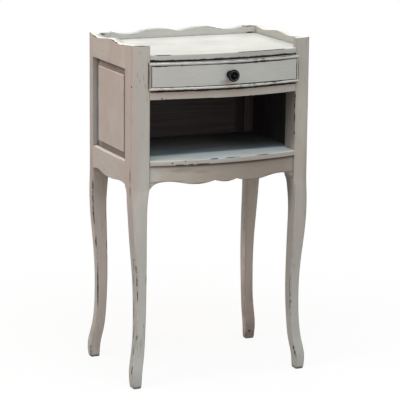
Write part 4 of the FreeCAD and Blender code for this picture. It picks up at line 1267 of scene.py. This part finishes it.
@dataclass
class SideFrames:
    """Side frames: gallery rails, scalloped lower rails and fielded panels.

    Attributes:
        arris: width of the eased edges.
        field_arris: width of the eased rim of the panel's field.
        panel_face: how far out the panel's margin stands.
        sill: height of the lower rail's top.
        gallery: height above which a face that looks up is the gallery's top.
        ends: where the rails meet the posts, front and back.
        rim_tilt: how much a face of the field's upper rim looks up, at least and at most.
    """

    arris: float = 0.0009
    field_arris: float = 0.0008
    panel_face: float = 0.1875
    sill: float = 0.4765
    gallery: float = 0.6765
    ends: Span = (-0.0617, 0.1213)
    rim_tilt: Span = (0.3, 0.95)

    def is_free(self, middle: Vector) -> bool:
        """Whether a rail's edge is an open arris and not an end against a post."""
        return self.ends[0] < middle.y < self.ends[1]

    def on_field(self, middle: Vector) -> bool:
        """Whether an edge lies on the raised field."""
        return abs(middle.x) > self.panel_face + NEAR / 2

    def looks_up(self, middle: Vector, normal: Vector) -> bool:
        """Whether a face is a rail's top."""
        return normal.z > UPWARD and (middle.z > self.gallery or abs(middle.z - self.sill) < NEAR)

    def on_ledge(self, middle: Vector, normal: Vector) -> bool:
        """Whether a face is the top of the raised field."""
        return normal.z > self.rim_tilt[1] and abs(middle.x) > self.panel_face

    def on_rim(self, middle: Vector, normal: Vector) -> bool:
        """Whether a face is the eased rim between that top and the field."""
        return self.rim_tilt[0] < normal.z <= self.rim_tilt[1] and abs(middle.x) > self.panel_face

    def in_recess(self, middle: Vector, normal: Vector) -> bool:
        """Whether a face is the panel's margin, or an end of the field that looks front or down, darkened
        with wax and painted shade.

        Args:
            middle: the face's middle.
            normal: where it looks.

        Returns:
            Whether it is darkened.
        """
        margin = abs(abs(middle.x) - self.panel_face) < NEAR and abs(normal.x) > FACING
        shaded = abs(middle.x) > self.panel_face and min(normal.y, normal.z) < -FACING
        return margin or shaded

    def build_rail(self, node: str, upper: ChalkPaint) -> Object:
        """Makes one rail.

        Args:
            node: its node.
            upper: the paler coat on its top, painted light.

        Returns:
            The piece.
        """
        bm = soft_edged(node, self.arris, self.is_free)
        dress_faces(bm, 1, self.looks_up)
        return finish_piece(bm, node, paint(node, Grain.ALONG_Y, SIDE_COAT),
                            paint(node, Grain.ALONG_Y, upper, "upper"))

    def build_panel(self, node: str) -> Object:
        """Makes one fielded panel, stained inside the niche.

        Args:
            node: its node.

        Returns:
            The piece.
        """
        bm = soft_edged(node, self.field_arris, self.on_field)
        # The recess and the field's top get darker coats, painted shade; the field's upper rim gets a
        # near-white coat, a painted highlight.
        for number, takes in enumerate((self.in_recess, self.on_ledge, self.on_rim), 2):
            dress_faces(bm, number, takes)
        NICHE.stain(bm)
        return finish_piece(bm, node, paint(node, Grain.ALONG_Z, SIDE_COAT),
                            STAIN.material(node + "_stain", Grain.ALONG_Z),
                            paint(node, Grain.ALONG_Z, RECESS_WAX_AND_SHADE_COAT, "recess"),
                            SHADED_LEDGE_COAT.material(node + "_ledge", Grain.ALONG_Y),
                            RIM_HIGHLIGHT_COAT.material(node + "_rim", Grain.ALONG_Y))

    def build(self) -> list[Object]:
        """Makes the rails and panels of both sides.

        Returns:
            The pieces.
        """
        pieces = []
        for side in SIDES:
            # The rails' tops get paler coats: painted light.
            pieces.append(self.build_rail(f"{side}_top_rail", LIT_TOP_COAT))
            pieces.append(self.build_rail(f"{side}_bottom_rail", LIT_SILL_COAT))
            pieces.append(self.build_panel(f"{side}_side_panel"))
        return pieces


@dataclass
class BackFrame:
    """Back frame: two rails and a thin panel, dark inside.

    Attributes:
        arris: width of the eased edges.
        end: where the rails meet the posts, from the middle.
    """

    arris: float = 0.0009
    end: float = 0.1555

    def is_free(self, middle: Vector) -> bool:
        """Whether a rail's edge is an open arris and not an end against a post."""
        return abs(middle.x) < self.end

    def build(self) -> list[Object]:
        """Makes the rails and the panel.

        Returns:
            The pieces.
        """
        pieces = []
        for node in ("back_top_rail", "back_bottom_rail"):
            bm = soft_edged(node, self.arris, self.is_free)
            NICHE.stain(bm)
            pieces.append(finish_piece(bm, node, paint(node, Grain.ALONG_X, BACK_COAT),
                                       STAIN.material(node + "_stain", Grain.ALONG_X)))
        pieces.append(dark_board("back_panel", self.arris, STAIN))
        return pieces


def dark_board(node: str, arris: float, finish: StainedBoard) -> Object:
    """Makes one of the niche's stained boards."""
    stain = finish.material(node + "_stain", Grain.ALONG_X, MARKS.get(node, ()))
    return finish_piece(soft_edged(node, arris), node, stain, slot=Slot.DARK)


@dataclass
class Front:
    """Top board, rail under the drawer, apron and the nosed front of the shelf.

    Attributes:
        arris: width of the eased scalloped edge.
        apron_low: height under which the apron's edges are eased.
        apron_half: half the apron's width between the legs.
        rail_top: height of the rail's top, under the drawer.
        board_under: height of the top board's underside, over the drawer.
        coats: the paint on each piece and, where it differs, on its front edge.
    """

    arris: float = 0.0006
    apron_low: float = 0.46
    apron_half: float = 0.1635
    rail_top: float = 0.626
    board_under: float = 0.688
    coats: ClassVar[dict[str, tuple[ChalkPaint, ...]]] = {
        "top_board": (BOARD_COAT, BOARD_EDGE), "middle_rail": (RAIL_COAT,), "front_apron": (APRON_COAT,),
        "shelf_nosing": (NOSE_COAT, NOSE_EDGE),
    }

    def on_scallop(self, middle: Vector) -> bool:
        """Whether an edge lies on the apron's scalloped edge, away from the legs."""
        return middle.z < self.apron_low and abs(middle.x) < self.apron_half

    def in_gap(self, middle: Vector, normal: Vector) -> bool:
        """Whether a face lines the gap over or under the drawer front.

        Args:
            middle: the face's middle.
            normal: where it looks.

        Returns:
            Whether it is painted near-black as shade.
        """
        under = normal.z > FACING and abs(middle.z - self.rail_top) < NEAR
        over = normal.z < -FACING and abs(middle.z - self.board_under) < NEAR
        return under or over

    def on_edge(self, middle: Vector, normal: Vector) -> bool:
        """Whether a face is a board's edge and not its top or underside."""
        return abs(normal.z) < UPWARD

    def build(self) -> list[Object]:
        """Makes the bowed pieces of the front and the top.

        Returns:
            The pieces.
        """
        pieces = []
        for node, coats in self.coats.items():
            bm = soft_edged(node, self.arris, self.on_scallop if node == "front_apron" else no_edge)
            # Faces that line the drawer's gaps get near-black: painted shade.
            dress_faces(bm, len(coats), self.in_gap)
            if len(coats) > 1:
                dress_faces(bm, 1, self.on_edge)
            finishes = [paint(node, Grain.ALONG_X, coat, part)
                        for coat, part in zip(coats, ("paint", "edge"))]
            finishes.append(GAP_SHADE.material(node + "_gap", Grain.ALONG_X))
            pieces.append(finish_piece(bm, node, *finishes))
        return pieces


@dataclass
class Inside:
    """Shelf, bearers and the drawer's housing.

    Attributes:
        arris: width of the eased edges.
    """

    arris: float = 0.0008

    def build(self) -> list[Object]:
        """Makes the dark boards and the bare battens.

        Returns:
            The pieces.
        """
        pieces = [dark_board("shelf_board", self.arris, SHELF_STAIN),
                  dark_board("dust_board", self.arris, STAIN)]
        pine = PINE.material("batten_pine", Grain.ALONG_Y)
        for side in SIDES:
            for batten in ("shelf_bearer", "drawer_runner", "drawer_guide", "drawer_kicker"):
                node = f"{side}_{batten}"
                bm = soft_edged(node, self.arris)
                pieces.append(finish_piece(bm, node, pine, slot=Slot.BARE))
        return pieces


@dataclass
class Drawer:
    """The drawer: bowed front with its raised field and beads, and the bare box behind it.

    Attributes:
        field_arris: width of the eased rim of the field.
        arris: width of the eased edges of the box.
        bow_centre: where the bow's centre lies, from front to back.
        field_radius: the bow's radius outside which the field's rim lies.
        front_top: height of the front's top.
        painted: the painted parts, and which way they were brushed.
        bare: the box's boards, and which way their grain runs.
    """

    field_arris: float = 0.0009
    arris: float = 0.0008
    bow_centre: float = 0.56402
    field_radius: float = 0.698
    front_top: float = 0.6856
    painted: ClassVar[dict[str, Grain]] = {
        "drawer_front": Grain.ALONG_X, "drawer_bead_top": Grain.ALONG_X, "drawer_bead_bottom": Grain.ALONG_X,
        "drawer_bead_right": Grain.ALONG_Z, "drawer_bead_left": Grain.ALONG_Z,
    }
    bare: ClassVar[dict[str, Grain]] = {
        "right_drawer_side": Grain.ALONG_Y, "left_drawer_side": Grain.ALONG_Y,
        "drawer_back": Grain.ALONG_X, "drawer_bottom": Grain.ALONG_X,
    }

    def on_top(self, middle: Vector, normal: Vector) -> bool:
        """Whether a face lines the gap over the front, which is painted near-black as shade."""
        return normal.z > FACING and abs(middle.z - self.front_top) < NEAR

    def on_field(self, middle: Vector) -> bool:
        """Whether an edge lies on the field's rim."""
        return math.hypot(middle.x, middle.y - self.bow_centre) > self.field_radius

    def build(self) -> list[Object]:
        """Makes the front, its beads and the box.

        Returns:
            The pieces.
        """
        pieces = []
        gap = GAP_SHADE.material("drawer_gap_shade", Grain.ALONG_X)
        for node, grain in self.painted.items():
            is_front = node == "drawer_front"
            bm = soft_edged(node, self.field_arris, self.on_field if is_front else no_edge)
            # The beads' tops that line the gap over the front get near-black: painted shade.
            if not is_front:
                dress_faces(bm, 1, self.on_top)
            coat = paint(node, grain, DRAWER_COAT)
            pieces.append(finish_piece(bm, node, coat, gap, body=Body.DRAWER))
        for node, grain in self.bare.items():
            bm = soft_edged(node, self.arris)
            pine = PINE.material(node + "_pine", grain)
            pieces.append(finish_piece(bm, node, pine, body=Body.DRAWER, slot=Slot.BARE))
        return pieces


@dataclass
class Knob:
    """The turned knob and its screw.

    Attributes:
        radius: of the head.
        reach: from the drawer's face to the nose.
        steps: facets round.
        cuts: points on each stretch of the turning, with both of its ends.
        lean: how far the curve's handles go, as a share of the way between a point's neighbours.
        turning: what the turning's curve runs through, from the drawer's face to the nose, as shares of the
            reach and the radius: foot, waist, rim, groove, ring, dish, button.
        rubbed: bands of the front painted dull grey, as shares of the radius: the button's middle as a
            painted highlight, and the ring that hands have rubbed.
        screw_arris: width of the screw's eased edges.
    """

    radius: float = 0.0127
    reach: float = 0.026
    steps: int = 64
    cuts: int = 4
    lean: float = 1 / 6
    turning: tuple[Span, ...] = (
        (0.0, 0.44), (0.09, 0.58), (0.22, 0.65), (0.42, 0.61), (0.62, 0.80), (0.81, 1.0), (0.923, 0.89),
        (0.885, 0.805), (0.92, 0.71), (0.83, 0.56), (0.82, 0.42), (0.88, 0.295), (0.965, 0.22), (1.0, 0.0),
    )
    # The first band paints the highlight on the button's middle; the second is the rubbed ring.
    rubbed: tuple[Span, ...] = ((0.0, 0.09), (0.68, 0.79))
    screw_arris: float = 0.0002

    def profile(self) -> list[Vector]:
        """Runs a smooth curve through the turning.

        Returns:
            Points as shares of the reach and the radius, from the middle of the foot to the nose.
        """
        run = [Vector(knot) for knot in (self.turning[0], *self.turning)]
        out, wide = self.turning[-2]
        run.append(Vector((out, -wide)))
        points = [Vector((0.0, 0.0))]
        for before, start, stop, after in zip(run, run[1:], run[2:], run[3:]):
            handles = (start + (stop - before) * self.lean, stop - (after - start) * self.lean)
            points.extend(interpolate_bezier(start, *handles, stop, self.cuts)[:-1])
        return [*points, run[-2]]

    def in_dull_band(self, off: Vector) -> bool:
        """Whether a place, as measured from the knob's middle, lies in a dull grey band: the rubbed ring,
        and the button's middle as a painted highlight.
        """
        share = math.hypot(off.x, off.z) / self.radius
        return off.y < 0.0 and any(least <= share <= most for least, most in self.rubbed)

    def build(self) -> list[Object]:
        """Spins the knob's profile and dresses the screw.

        Returns:
            The pieces.
        """
        low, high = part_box("drawer_knob")
        middle = (low + high) / 2
        bm = bmesh.new()
        points = [bm.verts.new((middle.x, high.y - self.reach * out, middle.z + self.radius * wide))
                  for out, wide in self.profile()]
        edges = [bm.edges.new(ends) for ends in zip(points, points[1:])]
        bmesh.ops.spin(bm, geom=[*points, *edges], cent=middle, axis=(0.0, 1.0, 0.0), angle=2 * math.pi,
                       steps=self.steps, use_merge=True)
        bmesh.ops.remove_doubles(bm, verts=bm.verts, dist=WELD)
        bmesh.ops.recalc_face_normals(bm, faces=bm.faces)
        layer = bm.loops.layers.float.new(ARRIS_LAYER)
        # The rubbed ring and the button's painted highlight get the dull grey.
        for face in bm.faces:
            rubbed = self.in_dull_band(face.calc_center_median() - middle)
            for loop in face.loops:
                loop[layer] = float(rubbed)
        knob = finish_piece(bm, "drawer_knob", BlackLacquer().material("knob_lacquer"), body=Body.DRAWER,
                            slot=Slot.BLACK, work="turned")
        screw = finish_piece(soft_edged("knob_screw", self.screw_arris, no_edge), "knob_screw",
                             ScrewSteel().material("knob_screw_steel"), body=Body.DRAWER, slot=Slot.STEEL)
        return [knob, screw]


# Studio


@dataclass(frozen=True)
class Softbox:
    """A soft studio lamp.

    Attributes:
        name: the lamp's name.
        place: where it hangs.
        size: its width and height.
        power: in watts.
        tint: its colour.
        aim: what it looks at.
    """

    name: str
    place: Place
    size: Span
    power: float
    tint: Colour = (1.0, 1.0, 1.0)
    aim: Place = (0.0, 0.0, 0.45)

    def build(self) -> Object:
        """Hangs the lamp.

        Returns:
            The lamp.
        """
        data = bpy.data.lights.new(self.name, "AREA")
        data.shape = "RECTANGLE"
        data.size, data.size_y = self.size
        data.energy = self.power
        data.color = self.tint
        lamp = bpy.data.objects.new(self.name, data)
        lamp.location = self.place
        lamp.rotation_mode = "QUATERNION"
        lamp.rotation_quaternion = (Vector(self.aim) - Vector(self.place)).to_track_quat("-Z", "Y")
        bpy.context.scene.collection.objects.link(lamp)
        return lamp


LAMPS = (
    Softbox("overhead", (-0.1, -0.2, 2.6), (2.4, 2.0), 33.0, (1.0, 0.95, 0.87)),
    Softbox("overhead_front", (-0.3, -1.6, 2.8), (2.0, 1.6), 32.0, (0.50, 0.93, 1.12)),
    Softbox("front_high", (-0.6, -3.0, 2.0), (2.0, 1.6), 14.0),
    Softbox("front_low", (-0.6, -3.4, 0.9), (2.0, 1.2), 20.0, (1.0, 0.72, 0.58)),
    Softbox("left_high", (-2.6, -0.8, 2.2), (1.6, 1.6), 60.0, (1.0, 0.765, 0.685)),
    Softbox("right_high", (2.6, -1.0, 2.0), (1.6, 1.6), 24.0, (1.0, 0.74, 0.64)),
    Softbox("behind", (0.9, 2.8, 1.9), (1.8, 1.6), 24.0),
)


@dataclass
class Studio:
    """A white sweep, soft lamps and the camera.

    Attributes:
        azimuth: where the camera looks from, in degrees round the object.
        elevation: how high it looks from, in degrees.
        roll: how far it leans, in degrees.
        eye: the camera's place.
        lens: focal length in millimetres on the sensor.
        sensor: sensor width in millimetres.
        ambient: light from all round.
        floor_tone: the floor's colour, for the light that it throws back.
        floor_seen: its colour as the camera sees it.
        floor_roughness: of its dull surface.
        floor_white: share of the floor's white that no shadow takes.
        shadow_reach: how far from the object the shadow starts to fade and ends.
        floor_size: its side.
    """

    azimuth: float = -23.978
    elevation: float = 12.526
    roll: float = 0.564
    eye: Place = (-1.6599, -3.7249, 1.2726)
    lens: float = 176.44
    sensor: float = 36.0
    ambient: float = 0.06
    floor_tone: Colour = (0.34, 0.34, 0.338)
    floor_seen: Colour = (0.9, 0.9, 0.9)
    floor_roughness: float = 0.9
    floor_white: float = 0.88
    shadow_reach: Span = (0.35, 1.1)
    floor_size: float = 60.0

    def build(self) -> None:
        """Sets up floor, world, lamps and camera."""
        scene = bpy.context.scene
        scene.view_settings.view_transform = "Standard"
        self.build_floor()
        scene.world = self.build_world()
        for lamp in LAMPS:
            lamp.build()
        scene.camera = self.build_camera()

    def build_floor(self) -> None:
        """Lays the pale floor, which keeps the shadow."""
        bm = bmesh.new()
        bmesh.ops.create_grid(bm, x_segments=1, y_segments=1, size=self.floor_size / 2)
        mesh = bpy.data.meshes.new("floor")
        bm.to_mesh(mesh)
        bm.free()
        floor = bpy.data.objects.new("floor", mesh)
        bpy.context.scene.collection.objects.link(floor)
        graph = FinishGraph("floor_white")
        seen = graph.seen()
        graph.set(Base_Color=graph.blend(seen, self.floor_tone, self.floor_seen),
                  Roughness=self.floor_roughness, Specular_IOR_Level=0.0)
        fade = graph.ease(graph.vector("LENGTH", graph.place), *self.shadow_reach, self.floor_white, 1.0)
        white = graph.math("MULTIPLY", seen, fade)
        glow = graph.add("ShaderNodeEmission", {"Strength": 1.0})
        mix = graph.add("ShaderNodeMixShader", {0: white, 1: graph.surface.outputs[0], 2: glow.outputs[0]})
        graph.feed(graph.tree.nodes["Material Output"].inputs["Surface"], mix.outputs[0])
        mesh.materials.append(graph.material)

    def build_world(self) -> bpy.types.World:
        """Makes an even light and a white backdrop.

        Returns:
            The world.
        """
        world = bpy.data.worlds.new("studio")
        world.use_nodes = True
        wiring = Wiring(world.node_tree)
        back = world.node_tree.nodes["Background"]
        wiring.feed(back.inputs["Color"], (1.0, 1.0, 1.0, 1.0))
        wiring.feed(back.inputs["Strength"], wiring.ease(wiring.seen(), 0.0, 1.0, self.ambient, 1.0))
        return world

    def build_camera(self) -> Object:
        """Places the camera at the photograph's angle.

        Returns:
            The camera.
        """
        turn, rise, lean = (math.radians(angle) for angle in (self.azimuth, self.elevation, self.roll))
        back = Vector((math.sin(turn) * math.cos(rise), -math.cos(turn) * math.cos(rise), math.sin(rise)))
        level = Vector((0.0, 0.0, 1.0)).cross(back).normalized()
        upright = back.cross(level)
        right = math.cos(lean) * level + math.sin(lean) * upright
        up = math.cos(lean) * upright - math.sin(lean) * level
        data = bpy.data.cameras.new("camera")
        data.lens = self.lens
        data.sensor_width = self.sensor
        camera = bpy.data.objects.new("camera", data)
        camera.matrix_world = Matrix.Translation(self.eye) @ Matrix((right, up, back)).transposed().to_4x4()
        bpy.context.scene.collection.objects.link(camera)
        return camera


def main() -> None:
    """Builds the table's parts in order, then the studio."""
    for part in (Legs(), SideFrames(), BackFrame(), Front(), Inside(), Drawer(), Knob()):
        pieces = part.build()
        log.info("%s: %d pieces", type(part).__name__, len(pieces))
    Studio().build()


if __name__ == "__main__":
    main()
